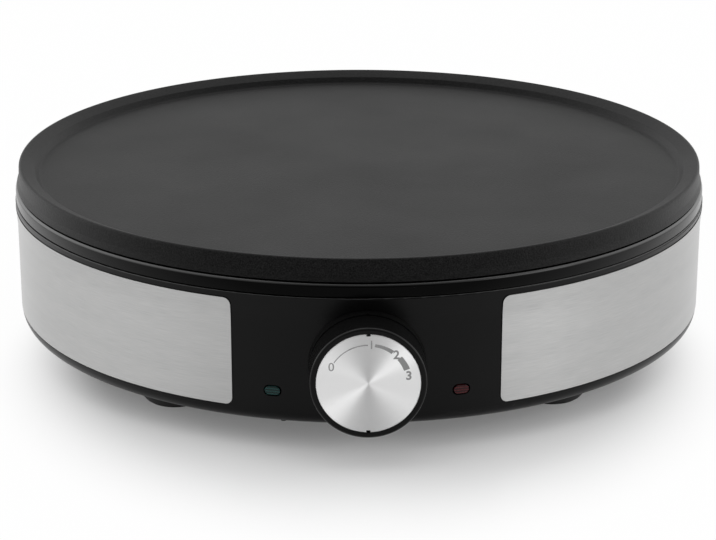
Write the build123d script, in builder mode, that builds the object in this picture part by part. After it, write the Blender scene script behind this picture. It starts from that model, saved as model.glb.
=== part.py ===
from build123d import *
import os
from math import cos, degrees, radians, sin, sqrt

# Electric crepe maker: a cast plate with a raised rim on a low round drum with one thermostat knob.
#
# All sizes are in millimetres. The origin is the centre of the cooking surface, with +Z up and the
# knob towards -Y. Heights are measured up from the worktop that the feet stand on. Azimuths are
# degrees around the drum from the front, positive towards +X, and depths are distances from the
# drum's axis towards the front.

# ---- Fits and clearances ----
plate_gap = 0.4           # between the plate's skirt and the upper ring
running_fit = 0.05        # radial, spindle in its bush
seat_fit = 0.05           # radial or all round, pieces that seat in one another
screw_clearance = 0.3     # radial, screw shank in a plain hole
knob_gap = 0.5            # between the knob's back and the plinth
panel_gap = 0.5           # round each steel panel in its recess
cover_gap = 0.3           # between the base cover and the housing's opening
edge_break = 0.4          # rounding of the mouldings' small edges

# ---- Baking plate ----
surface_height = 74.3     # cooking surface
rim_rise = 5.7            # top of the rim above the cooking surface
rim_radius = 150.0        # outer edge of the rim
rim_draft = 0.3           # how much wider the rim's side is where the skirt's flare starts
rim_width = 6.8           # sloping top of the rim
rim_fall = 3.0            # how far that slope falls towards the dish
dish_run = 2.2            # run of the wall below the slope
dish_fillet = 1.8
rim_fillet = 1.2
skirt_flare = 1.4         # the skirt's lower edge beyond the rim
skirt_flare_height = 2.9
skirt_flare_fillet = 2.0
skirt_width = 7.0         # land under the skirt
skirt_drop = 0.6          # skirt below the plate's underside
skirt_fillet = 0.5
plate_floor = 3.5         # thickness under the cooking surface
boss_radius = 6.0
boss_hole_depth = 12.0

# ---- Heating element ----
element_radius = 95.0     # centre line of the loop
tube_radius = 3.25
tube_drop = 3.8           # centre of the tube below the plate's underside
ridge_width = 13.0        # ridge that the tube is pressed into
ridge_depth = 5.2
element_gap = 24.0        # degrees left open at the back
element_bend = 9.0
element_leg = 9.0         # straight length of each cold leg
pin_radius = 1.2
pin_length = 9.0

# ---- Heat shield ----
shield_inset = 20.0       # its edge inside the rim
shield_thickness = 0.6
shield_depth = 15.8       # its floor below the plate's underside
shield_wall = 10.5
shield_corner = 4.0
bead_radius = 60.0        # stiffening bead
bead_width = 8.0
bead_height = 2.0
leg_hole_radius = 6.0
lead_hole_radius = 4.0
lead_holes = ((20.0, -20.0), (20.0, 40.0), (-18.0, 20.0))
washer_thickness = 0.8

# ---- Upper ring ----
ring_height = 5.8
ring_bulge = 0.35         # lip beyond the skirt's lower edge
ring_lip_fillet = 1.6
ring_foot_fillet = 0.3
ring_waist = 0.9          # groove under the lip, in depth
ring_waist_height = 0.4
ring_width = 9.8          # from the wall's upright part inwards
ring_step = 1.2           # inner part below the lip's top
ring_lip_width = 5.0
ring_screw_radius = 1.5
ring_screw_inset = 3.7     # from the ring's inner edge outwards
ring_screw_head = 2.6
ring_screw_grip = 2.4     # thread in the ring

# ---- Housing ----
wall_step = 1.3           # the wall's upright part beyond the rim
wall_flare = 0.85         # the wall's top beyond its upright part
wall_flare_rise = 10.0    # height of the flare
wall_flare_fillet = 40.0
wall_thickness = 2.4
ground_clearance = 10.3   # lower edge of the drum
wall_foot_fillet = 5.2
wall_top_fillet = 0.5
wall_lip_width = 8.3      # in from the wall to the opening that the base cover fills
rib_count = 8
rib_depth = 4.0
rib_thickness = 2.0
nub_radius = 1.2
nub_height = 0.9
nub_azimuth = -13.1

# ---- Steel panels ----
panel_drop = 2.7          # below the drum's top
panel_bottom = 16.5
panel_azimuth = 20.5      # of its front edge
panel_arc = 129.5         # degrees
panel_thickness = 0.5
panel_proud = 0.2
panel_corner = 3.0

# ---- Base cover, feet and screws ----
cover_thickness = 2.4
cover_rim_height = 3.0
foot_inset = 21.5         # from the cover's opening inwards
foot_azimuth = 40.0
foot_radius = 11.6
foot_height = 2.2
foot_pocket = 1.2         # how deep each pad sits in its boss
foot_boss_radius = 12.8   # at its lower end
foot_flare = 7.7
foot_boss_wall = 2.4
pillar_inset = 34.0       # from the rim inwards
pillar_azimuths = (60, 180, -60)
pillar_radius = 6.5
plate_screw_radius = 2.0
plate_screw_head = 3.5
plate_screw_seat = 30.0   # height of the seat inside each pillar
plate_screw_grip = 11.0
base_screw_inset = 10.5   # from the cover's opening inwards
base_screw_count = 6
base_screw_radius = 1.5
base_screw_head = 2.9
base_boss_radius = 4.6
base_boss_length = 6.6
base_seat_rise = 5.6      # base screw seats above the underside
vent_circle = 80.0
vent_length = 34.0
vent_width = 3.2
vent_count = 9            # in each of the two fans
vent_fan = 60.0           # degrees from the first slot to the last
vent_ring_radius = 28.0

# ---- Knob, plinth and thermostat ----
knob_height = 35.8        # of the spindle's axis
knob_length = 13.4        # the knob's rim before the plinth's face
knob_radius = 22.5        # at the front
knob_flare = 0.5
knob_edge_fillet = 1.0
knob_inner_fillet = 1.0
knob_wall = 1.8
knob_face = 2.6           # thickness behind the disc
disc_radius = 20.15
disc_thickness = 1.1
disc_inset = 0.15         # disc's face behind the rim
disc_edge_fillet = 0.3
notch_width = 1.6         # at the top and bottom of the disc
notch_depth = 0.9
hub_radius = 6.2
knob_rib_count = 6
knob_rib_thickness = 1.2
clip_thickness = 0.7
clip_width = 5.0
clip_mouth = 6.2          # opening in the spring clip
plinth_radius = 23.2
plinth_rise = 4.7         # the plinth's face before the wall
pointer_width = 0.9
pointer_length = 2.2
pointer_rise = 0.35
spindle_radius = 3.0
spindle_flat = 0.8
spindle_nose = 2.8        # end of the spindle behind the knob's front face
spindle_tail = 7.0        # length inside the thermostat
spindle_hole = 4.2        # hole through the plinth
bush_radius = 4.5
bush_length = 9.0
nut_across_flats = 13.0
nut_thickness = 3.0
bracket_inset = 12.3      # its blade behind the wall's outside
bracket_thickness = 1.5
bracket_width = 26.0
bracket_drop = 12.0       # blade below the spindle's axis
bracket_reach = 22.0
bracket_lift = 2.0        # length of the plate's two bosses for it
bracket_screw_reach = 14.0
bracket_screw_spacing = 16.0
thermostat_width = 30.0
thermostat_tall = 20.0
thermostat_deep = 15.0
thermostat_corner = 2.0
tab_width = 6.3
tab_thickness = 0.8
tab_length = 10.0
tab_spacing = 16.0

# ---- Indicators ----
lens_azimuth = 14.17
lens_height = 24.2
lens_width = 6.3
lens_tall = 3.6
lens_proud = 0.25
lens_flange = 1.6
lens_flange_thickness = 1.2
lens_length = 7.0
lamp_radius = 2.0
lamp_length = 14.0

# ---- Screws under the plate ----
machine_screw_radius = 1.8
machine_screw_head = 3.4
machine_screw_head_height = 2.2
machine_screw_grip = 3.2

# ---- Thermal fuse and wiring ----
fuse_radius = 2.0
fuse_length = 12.0
fuse_x = 40.0
fuse_y = 20.0
clip_strap_thickness = 0.8
clip_strap_width = 6.0
clip_foot = 9.0
earth_x = -40.0
earth_y = 20.0
block_length = 34.0
block_width = 18.0
block_tall = 14.0
block_corner = 1.5
block_y = 58.0
block_pitch = 10.0
block_wire_radius = 2.0
block_screw_radius = 1.6
lead_radius = 1.1
lead_bend = 5.0
lead_run = 20.0           # straight run out of a terminal
lead_step = 8.0           # sideways and down between two runs
lead_hang = 10.0          # below a hole in the shield or a pin
lead_rise = 6.0           # above the shield's floor
tag_radius = 4.0
tag_thickness = 0.8
tag_tail = 4.0

# ---- Cord gland ----
gland_height = 31.0
gland_bore = 3.6
gland_radius = 6.0
gland_flange_radius = 7.6
gland_flange_thickness = 2.0
gland_nose = 5.0

# ---- Heights and radii that follow from the sizes above ----
wall_upright_radius = rim_radius + wall_step
ring_inner_radius = wall_upright_radius - ring_width
ring_screw_circle = ring_inner_radius + ring_screw_inset
wall_lip_radius = wall_upright_radius - wall_lip_width
base_screw_circle = wall_lip_radius - base_screw_inset
foot_circle = wall_lip_radius - foot_inset
pillar_circle = rim_radius - pillar_inset
shield_radius = rim_radius - shield_inset
plinth_front = wall_upright_radius + plinth_rise
knob_front = plinth_front + knob_length
bracket_front = wall_upright_radius - bracket_inset
bracket_screw_circle = bracket_front - bracket_screw_reach
rim_height = surface_height + rim_rise
plate_underside = surface_height - plate_floor
skirt_bottom = plate_underside - skirt_drop
skirt_radius = rim_radius + skirt_flare
tube_height = plate_underside - tube_drop
shield_floor = plate_underside - shield_depth
shield_seat = shield_floor - shield_thickness
ring_top = skirt_bottom - plate_gap
housing_top = ring_top - ring_height
wall_flare_foot = housing_top - wall_flare_rise
panel_top = housing_top - panel_drop
lip_radius = skirt_radius + ring_bulge
leg_azimuths = (180 - element_gap / 2, 180 + element_gap / 2)
cover_underside = ground_clearance + cover_gap
cover_top = cover_underside + cover_thickness
cover_radius = wall_lip_radius - cover_gap
pillar_top = shield_seat - washer_thickness
base_seat = cover_underside + base_seat_rise
foot_boss_bottom = foot_height - foot_pocket
foot_azimuths = (-foot_azimuth, foot_azimuth, foot_azimuth - 180, 180 - foot_azimuth)
base_screw_azimuths = [index * 360 / base_screw_count for index in range(base_screw_count)]
bracket_back = bracket_front - bracket_thickness
knob_back = plinth_front + knob_gap
knob_web = knob_front - disc_inset - disc_thickness
spindle_end = knob_web - spindle_nose
bracket_arm_top = plate_underside - bracket_lift
clip_seat = plate_underside - 2 * fuse_radius


def wall_radius(height):
    """Outer radius of the housing's wall at a height: upright, then flaring to the top."""
    rise = max(0, height - wall_flare_foot)
    return wall_upright_radius + wall_flare * rise / (housing_top - wall_flare_foot)


def level(height):
    """Level plane on the drum's axis."""
    return Plane((0, 0, height - surface_height))


def section(azimuth=90):
    """Upright plane from the drum's axis outwards, with x as the radius and y as the height."""
    turn = radians(azimuth)
    return Plane(
        (0, 0, -surface_height), x_dir=(sin(turn), -cos(turn), 0), z_dir=(-cos(turn), -sin(turn), 0)
    )


def facing(azimuth, height, radius):
    """Upright plane square to the radius at an azimuth, seen from outside the drum."""
    turn = radians(azimuth)
    return Plane(
        (radius * sin(turn), -radius * cos(turn), height - surface_height),
        x_dir=(cos(turn), sin(turn), 0),
        z_dir=(sin(turn), -cos(turn), 0),
    )


def front(depth):
    """Upright plane across the spindle's axis, seen from the front."""
    return facing(0, knob_height, depth)


def around(radius, *azimuths):
    """Points on a circle around the drum's axis."""
    return [(radius * sin(radians(a)), -radius * cos(radians(a))) for a in azimuths]


def points(outline):
    """Corner points of an outline given as x, y and corner radius."""
    return [(x, y) for x, y, _ in outline]


def radii(outline):
    """Corner radii of an outline given as x, y and corner radius."""
    return [radius for _, _, radius in outline]


def save(piece, name):
    """Label a finished piece and write its STEP file."""
    piece.part.label = name
    export_step(piece.part, f"parts/{name}.step")


os.makedirs("parts", exist_ok=True)


# ---- Baking plate: cast disc with its dish, skirt, element ridge and bosses ----
slope_inner = rim_radius - rim_width
dish_radius = slope_inner - dish_run
slope_bottom = rim_height - rim_fall
skirt_inner = skirt_radius - skirt_width
plate_outline = [
    (0, plate_underside, 0),
    (skirt_inner, plate_underside, 0),
    (skirt_inner, skirt_bottom, 0),
    (skirt_radius, skirt_bottom, skirt_fillet),
    (rim_radius + rim_draft, skirt_bottom + skirt_flare_height, skirt_flare_fillet),
    (rim_radius, rim_height, rim_fillet),
    (slope_inner, slope_bottom, rim_fillet),
    (dish_radius, surface_height, dish_fillet),
    (0, surface_height, 0),
]
bracket_screw_x = bracket_screw_spacing / 2
bracket_screws = [(x, -bracket_screw_circle) for x in (-bracket_screw_x, bracket_screw_x)]
fuse_screw = (fuse_x + fuse_radius + clip_foot / 2, fuse_y)
machine_screw_places = [*bracket_screws, fuse_screw, (earth_x, earth_y)]
machine_hole_radius = machine_screw_radius + seat_fit

with BuildPart() as baking_plate:
    with BuildSketch(section()):
        with BuildLine():
            FilletPolyline(*points(plate_outline), radius=radii(plate_outline), close=True)
        make_face()
    revolve(axis=Axis.Z)
    with BuildSketch(section(leg_azimuths[1])):
        with Locations((element_radius, plate_underside - ridge_depth)):
            Rectangle(ridge_width, ridge_depth + plate_floor / 2, align=(Align.CENTER, Align.MIN))
    revolve(axis=Axis.Z, revolution_arc=360 - element_gap)
    with BuildSketch(section()):
        with Locations((element_radius, tube_height)):
            Circle(tube_radius + seat_fit)
    revolve(axis=Axis.Z, mode=Mode.SUBTRACT)
    with BuildSketch(level(shield_floor)):
        with Locations(*around(pillar_circle, *pillar_azimuths)):
            Circle(boss_radius)
    extrude(amount=shield_depth)
    with BuildSketch(level(bracket_arm_top)):
        with Locations(*machine_screw_places):
            Circle(machine_screw_head)
    extrude(amount=bracket_lift)
    with BuildSketch(level(shield_floor)):
        with Locations(*around(pillar_circle, *pillar_azimuths)):
            Circle(plate_screw_radius + seat_fit)
    extrude(amount=boss_hole_depth, mode=Mode.SUBTRACT)
    with BuildSketch(level(bracket_arm_top)):
        with Locations(*machine_screw_places):
            Circle(machine_hole_radius)
    extrude(amount=machine_screw_grip + seat_fit, mode=Mode.SUBTRACT)
save(baking_plate, "baking_plate")


# ---- Heating element: an open loop whose cold ends turn down through the shield ----
bend_floor = tube_height - element_bend
leg_bottom = bend_floor - element_leg

with BuildPart() as heating_element:
    with BuildSketch(section(leg_azimuths[1])):
        with Locations((element_radius, tube_height)):
            Circle(tube_radius)
    revolve(axis=Axis.Z, revolution_arc=360 - element_gap)
    for leg_azimuth, side in zip(leg_azimuths, (1, -1)):
        cut = section(leg_azimuth)
        bend_axis = Axis(cut.from_local_coords((element_radius, bend_floor, 0)), cut.x_dir)
        with BuildSketch(cut):
            with Locations((element_radius, tube_height)):
                Circle(tube_radius)
        revolve(axis=bend_axis, revolution_arc=-90 * side)
        leg_start = cut.from_local_coords((element_radius, bend_floor, -element_bend * side))
        with BuildSketch(Plane(leg_start)):
            Circle(tube_radius)
        extrude(amount=-element_leg)
save(heating_element, "heating_element")

leg_places = []
for leg_azimuth, side in zip(leg_azimuths, (1, -1)):
    foot = section(leg_azimuth).from_local_coords((element_radius, leg_bottom, -element_bend * side))
    leg_places.append((foot.X, foot.Y))

with BuildPart() as element_pins:
    with BuildSketch(level(leg_bottom)):
        with Locations(*leg_places):
            Circle(pin_radius)
    extrude(amount=-pin_length)
save(element_pins, "element_pins")


# ---- Heat shield: shallow pressed dish between the plate and the drum's inside ----
shield_inner = shield_radius - shield_thickness
shield_rim = shield_seat + shield_wall
shield_outline = [
    (0, shield_seat, 0),
    (bead_radius - bead_width / 2, shield_seat, 0),
    (bead_radius, shield_seat + bead_height, 0),
    (bead_radius + bead_width / 2, shield_seat, 0),
    (shield_radius, shield_seat, shield_corner + shield_thickness),
    (shield_radius, shield_rim, 0),
    (shield_inner, shield_rim, 0),
    (shield_inner, shield_floor, shield_corner),
    (bead_radius + bead_width / 2, shield_floor, 0),
    (bead_radius, shield_floor + bead_height, 0),
    (bead_radius - bead_width / 2, shield_floor, 0),
    (0, shield_floor, 0),
]

with BuildPart() as heat_shield:
    with BuildSketch(section()):
        with BuildLine():
            FilletPolyline(*points(shield_outline), radius=radii(shield_outline), close=True)
        make_face()
    revolve(axis=Axis.Z)
    with BuildSketch(level(shield_floor)):
        with Locations(*around(pillar_circle, *pillar_azimuths)):
            Circle(plate_screw_radius + screw_clearance)
        with Locations(*leg_places):
            Circle(leg_hole_radius)
        with Locations(*lead_holes):
            Circle(lead_hole_radius)
    extrude(amount=-shield_thickness, mode=Mode.SUBTRACT)
save(heat_shield, "heat_shield")

with BuildPart() as shield_washers:
    with BuildSketch(level(pillar_top)):
        with Locations(*around(pillar_circle, *pillar_azimuths)):
            Circle(pillar_radius)
            Circle(plate_screw_radius + screw_clearance, mode=Mode.SUBTRACT)
    extrude(amount=washer_thickness)
save(shield_washers, "shield_washers")


# ---- Upper ring: rounded lip over a narrow waist, screwed to the housing from inside ----
ring_outline = [
    (ring_inner_radius, housing_top, 0),
    (lip_radius - ring_waist, housing_top, 0),
    (lip_radius - ring_waist, housing_top + ring_waist_height, edge_break / 2),
    (lip_radius, housing_top + ring_waist_height, ring_foot_fillet),
    (lip_radius, ring_top, ring_lip_fillet),
    (lip_radius - ring_lip_width, ring_top, edge_break),
    (lip_radius - ring_lip_width, ring_top - ring_step, edge_break),
    (ring_inner_radius, ring_top - ring_step, edge_break),
]

with BuildPart() as upper_ring:
    with BuildSketch(section()):
        with BuildLine():
            FilletPolyline(*points(ring_outline), radius=radii(ring_outline), close=True)
        make_face()
    revolve(axis=Axis.Z)
    with BuildSketch(level(housing_top)):
        with PolarLocations(ring_screw_circle, base_screw_count):
            Circle(ring_screw_radius + seat_fit)
    extrude(amount=ring_screw_grip + seat_fit, mode=Mode.SUBTRACT)
save(upper_ring, "upper_ring")

flange_underside = housing_top - wall_thickness
with BuildPart() as ring_screws:
    with BuildSketch(level(flange_underside)):
        with PolarLocations(ring_screw_circle, base_screw_count):
            Circle(ring_screw_head)
    extrude(amount=-ring_screw_radius)
    with BuildSketch(level(flange_underside)):
        with PolarLocations(ring_screw_circle, base_screw_count):
            Circle(ring_screw_radius)
    extrude(amount=wall_thickness + ring_screw_grip)
save(ring_screws, "ring_screws")


# ---- Housing: one moulded wall with its flanges, panel recesses, plinth, windows and bosses ----
foot_line = ground_clearance
lip_top = ground_clearance + wall_thickness
wall_outline = [
    (wall_lip_radius, foot_line, edge_break),
    (wall_radius(foot_line), foot_line, wall_foot_fillet),
    (wall_radius(wall_flare_foot), wall_flare_foot, wall_flare_fillet),
    (wall_radius(housing_top), housing_top, wall_top_fillet),
    (ring_inner_radius, housing_top, edge_break),
    (ring_inner_radius, flange_underside, edge_break),
    (wall_radius(flange_underside) - wall_thickness, flange_underside, wall_top_fillet),
    (wall_radius(wall_flare_foot) - wall_thickness, wall_flare_foot, wall_flare_fillet),
    (wall_radius(lip_top) - wall_thickness, lip_top, wall_foot_fillet - wall_thickness),
    (wall_lip_radius, lip_top, edge_break),
]
recess_top = panel_top + panel_gap
recess_bottom = panel_bottom - panel_gap
panel_middle = (panel_top + panel_bottom) / 2
gap_turn = degrees(panel_gap / wall_radius(panel_middle))
recess_depth = panel_thickness - panel_proud + seat_fit
plinth_root = wall_radius(knob_height) - wall_thickness + edge_break
boss_bottom = base_seat + seat_fit
web_outer = wall_radius(boss_bottom) - wall_thickness / 2
rib_root = wall_radius(lip_top) - wall_thickness / 2
rib_inner = wall_radius(lip_top) - wall_thickness - rib_depth
nub_circle = (wall_lip_radius + edge_break + wall_radius(foot_line) - wall_foot_fillet) / 2


def strip(azimuth, turn, top, bottom, outset, thickness, corner):
    """Strip that follows the wall from one azimuth, with rounded corners."""
    outer = [(wall_radius(height) + outset, height) for height in (bottom, wall_flare_foot, top)]
    inner = [(radius - thickness, height) for radius, height in reversed(outer)]
    bends = (0, wall_flare_fillet, 0, 0, wall_flare_fillet, 0)
    with BuildPart() as band:
        with BuildSketch(section(azimuth)):
            with BuildLine():
                FilletPolyline(*outer, *inner, radius=bends, close=True)
            make_face()
        revolve(axis=Axis.Z, revolution_arc=turn)
        corners = [
            edge
            for edge in edges().filter_by(GeomType.LINE)
            if edge.length < 2 * thickness and abs(edge.tangent_at(0).Z) < 0.1
        ]
        fillet(corners, radius=corner)
    return band


with BuildPart() as housing:
    with BuildSketch(section()):
        with BuildLine():
            FilletPolyline(*points(wall_outline), radius=radii(wall_outline), close=True)
        make_face()
    revolve(axis=Axis.Z)
    # Plinth behind the knob, with a raised pointer line above the knob.
    with BuildSketch(front(plinth_front - pointer_length)):
        Circle(plinth_radius)
    extrude(amount=plinth_root - plinth_front + pointer_length)
    with BuildSketch(front(plinth_front)):
        Circle(plinth_radius)
        with Locations((0, plinth_radius)):
            Rectangle(pointer_width, 2 * pointer_rise)
    extrude(amount=-pointer_length)
    # Bosses and webs for the base screws.
    with BuildSketch(level(boss_bottom)):
        for boss_azimuth in base_screw_azimuths:
            with PolarLocations((base_screw_circle + web_outer) / 2, 1, start_angle=boss_azimuth - 90):
                Rectangle(web_outer - base_screw_circle, rib_thickness)
        with Locations(*around(base_screw_circle, *base_screw_azimuths)):
            Circle(base_boss_radius)
    extrude(amount=base_boss_length)
    # Stiffening ribs up the inside of the wall.
    with BuildSketch(level(lip_top - wall_thickness / 2)):
        with PolarLocations((rib_root + rib_inner) / 2, rib_count, start_angle=180 / rib_count):
            Rectangle(rib_root - rib_inner, rib_thickness)
    extrude(amount=flange_underside - lip_top + wall_thickness)
    # Small moulded nub under the lower edge, in the middle of its flat.
    with BuildSketch(level(foot_line + nub_height)):
        with Locations(*around(nub_circle, nub_azimuth)):
            Circle(nub_radius)
    extrude(amount=-2 * nub_height)
    # Recesses for the steel panels.
    for recess_start in (panel_azimuth - gap_turn, -panel_azimuth - panel_arc - gap_turn):
        recess = strip(
            recess_start,
            panel_arc + 2 * gap_turn,
            recess_top,
            recess_bottom,
            recess_depth,
            2 * recess_depth,
            panel_corner + panel_gap,
        )
        add(recess.part, mode=Mode.SUBTRACT)
    # Spindle hole, indicator windows, gland hole and screw holes.
    with BuildSketch(front(plinth_front)):
        Circle(spindle_hole)
    extrude(amount=-2 * plinth_radius, mode=Mode.SUBTRACT)
    for window_azimuth in (-lens_azimuth, lens_azimuth):
        with BuildSketch(facing(window_azimuth, lens_height, lip_radius)):
            RectangleRounded(lens_width, lens_tall, lens_tall / 2 - seat_fit)
        extrude(amount=-3 * wall_thickness, mode=Mode.SUBTRACT)
    with BuildSketch(facing(180, gland_height, lip_radius)):
        Circle(gland_radius + seat_fit)
    extrude(amount=-2 * gland_radius, mode=Mode.SUBTRACT)
    with BuildSketch(level(boss_bottom)):
        with Locations(*around(base_screw_circle, *base_screw_azimuths)):
            Circle(base_screw_radius + seat_fit)
    extrude(amount=base_boss_length - rib_thickness / 2, mode=Mode.SUBTRACT)
    with BuildSketch(level(housing_top)):
        with PolarLocations(ring_screw_circle, base_screw_count):
            Circle(ring_screw_radius + screw_clearance)
    extrude(amount=-2 * wall_thickness, mode=Mode.SUBTRACT)
save(housing, "housing")


# ---- Steel panels: thin strips with rounded corners ----
for panel_name, panel_start in (
    ("steel_panel_right", panel_azimuth),
    ("steel_panel_left", -panel_azimuth - panel_arc),
):
    panel = strip(
        panel_start, panel_arc, panel_top, panel_bottom, panel_proud, panel_thickness, panel_corner
    )
    save(panel, panel_name)


# ---- Base cover: vented floor with flared foot bosses, pillars and screw seats ----
foot_boss_top = foot_boss_radius + foot_flare
foot_boss_height = cover_underside - foot_boss_bottom
foot_inside_height = cover_top - foot_height - foot_boss_wall
foot_inside_slope = foot_flare / foot_boss_height
foot_inside_bottom = foot_boss_radius - foot_boss_wall + foot_inside_slope * foot_boss_wall
foot_inside_top = foot_inside_bottom + foot_inside_slope * foot_inside_height
foot_places = around(foot_circle, *foot_azimuths)
pillar_places = around(pillar_circle, *pillar_azimuths)
base_screw_places = around(base_screw_circle, *base_screw_azimuths)
cover_rim_outline = [
    (cover_radius - cover_thickness, cover_top - cover_thickness / 2, 0),
    (cover_radius, cover_top - cover_thickness / 2, 0),
    (cover_radius, cover_top + cover_rim_height, edge_break),
    (cover_radius - cover_thickness, cover_top + cover_rim_height, edge_break),
]

with BuildPart() as base_cover:
    with BuildSketch(level(cover_underside)):
        Circle(cover_radius)
    extrude(amount=cover_thickness)
    with BuildSketch(section()):
        with BuildLine():
            FilletPolyline(
                *points(cover_rim_outline), radius=radii(cover_rim_outline), close=True
            )
        make_face()
    revolve(axis=Axis.Z)
    with BuildSketch(level(cover_top - cover_thickness / 2)):
        Circle(vent_ring_radius + rib_thickness)
        Circle(vent_ring_radius, mode=Mode.SUBTRACT)
        with Locations(*pillar_places):
            Circle(pillar_radius + rib_thickness)
    extrude(amount=cover_thickness / 2 + cover_rim_height)
    # Flared foot bosses, hollow above.
    with Locations(level(foot_boss_bottom)):
        with Locations(*foot_places):
            Cone(
                foot_boss_radius,
                foot_boss_top,
                foot_boss_height,
                align=(Align.CENTER, Align.CENTER, Align.MIN),
            )
    with Locations(level(foot_height + foot_boss_wall)):
        with Locations(*foot_places):
            Cone(
                foot_inside_bottom,
                foot_inside_top,
                foot_inside_height,
                align=(Align.CENTER, Align.CENTER, Align.MIN),
                mode=Mode.SUBTRACT,
            )
    with BuildSketch(level(foot_boss_bottom)):
        with Locations(*foot_places):
            Circle(foot_radius + seat_fit)
    extrude(amount=foot_pocket, mode=Mode.SUBTRACT)
    # Screw seats under the housing's bosses, and pillars under the heat shield.
    with BuildSketch(level(cover_underside + cover_thickness / 2)):
        with Locations(*base_screw_places):
            Circle(base_boss_radius)
    extrude(amount=base_seat - cover_underside - cover_thickness / 2)
    with BuildSketch(level(cover_underside + cover_thickness / 2)):
        with Locations(*pillar_places):
            Circle(pillar_radius)
    extrude(amount=pillar_top - cover_underside - cover_thickness / 2)
    with BuildSketch(level(cover_underside)):
        with Locations(*base_screw_places):
            Circle(base_screw_head + screw_clearance)
    extrude(amount=base_seat_rise - cover_thickness, mode=Mode.SUBTRACT)
    with BuildSketch(level(cover_underside)):
        with Locations(*base_screw_places):
            Circle(base_screw_radius + screw_clearance)
    extrude(amount=base_seat_rise, mode=Mode.SUBTRACT)
    with BuildSketch(level(cover_underside)):
        with Locations(*pillar_places):
            Circle(plate_screw_head + screw_clearance)
    extrude(amount=plate_screw_seat - cover_underside, mode=Mode.SUBTRACT)
    with BuildSketch(level(cover_underside)):
        with Locations(*pillar_places):
            Circle(plate_screw_radius + screw_clearance)
    extrude(amount=pillar_top - cover_underside, mode=Mode.SUBTRACT)
    # Two fans of vent slots.
    for fan_middle in (0, 180):
        with BuildSketch(level(cover_underside)):
            with PolarLocations(
                vent_circle,
                vent_count,
                start_angle=fan_middle - vent_fan / 2,
                angular_range=vent_fan,
                endpoint=True,
            ):
                SlotOverall(vent_length, vent_width)
        extrude(amount=cover_thickness, mode=Mode.SUBTRACT)
save(base_cover, "base_cover")

for foot_name, foot_place in zip(
    ("foot_front_left", "foot_front_right", "foot_rear_left", "foot_rear_right"), foot_places
):
    with BuildPart() as foot_pad:
        with BuildSketch(level(0)):
            with Locations(foot_place):
                Circle(foot_radius)
        extrude(amount=foot_height)
        fillet(edges().sort_by(Axis.Z)[0], radius=edge_break)
    save(foot_pad, foot_name)

base_screw_seat = cover_underside + base_seat_rise - cover_thickness
with BuildPart() as base_screws:
    with BuildSketch(level(base_screw_seat)):
        with Locations(*base_screw_places):
            Circle(base_screw_head)
    extrude(amount=-base_screw_radius)
    with BuildSketch(level(base_screw_seat)):
        with Locations(*base_screw_places):
            Circle(base_screw_radius)
    extrude(amount=cover_thickness + base_boss_length - rib_thickness)
save(base_screws, "base_screws")

with BuildPart() as plate_screws:
    with BuildSketch(level(plate_screw_seat)):
        with Locations(*pillar_places):
            Circle(plate_screw_head)
    extrude(amount=-plate_screw_radius)
    with BuildSketch(level(plate_screw_seat)):
        with Locations(*pillar_places):
            Circle(plate_screw_radius)
    extrude(amount=shield_floor + plate_screw_grip - plate_screw_seat)
save(plate_screws, "plate_screws")


# ---- Thermostat: its bracket carries heat down from the plate ----
bracket_outline = [
    (bracket_back, knob_height - bracket_drop, 0),
    (bracket_front, knob_height - bracket_drop, 0),
    (bracket_front, bracket_arm_top, 2 * bracket_thickness),
    (bracket_front - bracket_reach, bracket_arm_top, 0),
    (bracket_front - bracket_reach, bracket_arm_top - bracket_thickness, 0),
    (bracket_back, bracket_arm_top - bracket_thickness, bracket_thickness),
]

with BuildPart() as thermostat_bracket:
    with BuildSketch(section(0)):
        with BuildLine():
            FilletPolyline(*points(bracket_outline), radius=radii(bracket_outline), close=True)
        make_face()
    extrude(amount=bracket_width / 2, both=True)
    with BuildSketch(front(bracket_front)):
        Circle(bush_radius + seat_fit)
    extrude(amount=-bracket_thickness, mode=Mode.SUBTRACT)
    with BuildSketch(level(bracket_arm_top)):
        with Locations(*bracket_screws):
            Circle(machine_screw_radius + screw_clearance)
    extrude(amount=-bracket_thickness, mode=Mode.SUBTRACT)
save(thermostat_bracket, "thermostat_bracket")

with BuildPart() as thermostat_body:
    with BuildSketch(front(bracket_back)):
        RectangleRounded(thermostat_width, thermostat_tall, thermostat_corner)
    extrude(amount=-thermostat_deep)
    with BuildSketch(front(bracket_back)):
        Circle(spindle_radius + running_fit)
    extrude(amount=-spindle_tail - running_fit, mode=Mode.SUBTRACT)
save(thermostat_body, "thermostat_body")

tab_places = [(x, 0) for x in (-tab_spacing / 2, tab_spacing / 2)]
with BuildPart() as thermostat_tabs:
    with BuildSketch(front(bracket_back - thermostat_deep)):
        with Locations(*tab_places):
            Rectangle(tab_thickness, tab_width)
    extrude(amount=-tab_length)
save(thermostat_tabs, "thermostat_tabs")

with BuildPart() as thermostat_bush:
    with BuildSketch(front(bracket_back)):
        Circle(bush_radius)
        Circle(spindle_radius + running_fit, mode=Mode.SUBTRACT)
    extrude(amount=bush_length)
save(thermostat_bush, "thermostat_bush")

with BuildPart() as thermostat_nut:
    with BuildSketch(front(bracket_front)):
        RegularPolygon(nut_across_flats / 2, 6, major_radius=False)
        Circle(bush_radius + seat_fit, mode=Mode.SUBTRACT)
    extrude(amount=nut_thickness)
save(thermostat_nut, "thermostat_nut")

with BuildPart() as thermostat_spindle:
    with BuildSketch(front(bracket_back - spindle_tail)):
        Circle(spindle_radius)
    extrude(amount=spindle_end - bracket_back + spindle_tail)
    with BuildSketch(front(knob_back)):
        with Locations((0, spindle_radius)):
            Rectangle(2 * spindle_radius, 2 * spindle_flat)
    extrude(amount=spindle_end - knob_back, mode=Mode.SUBTRACT)
save(thermostat_spindle, "thermostat_spindle")


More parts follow.
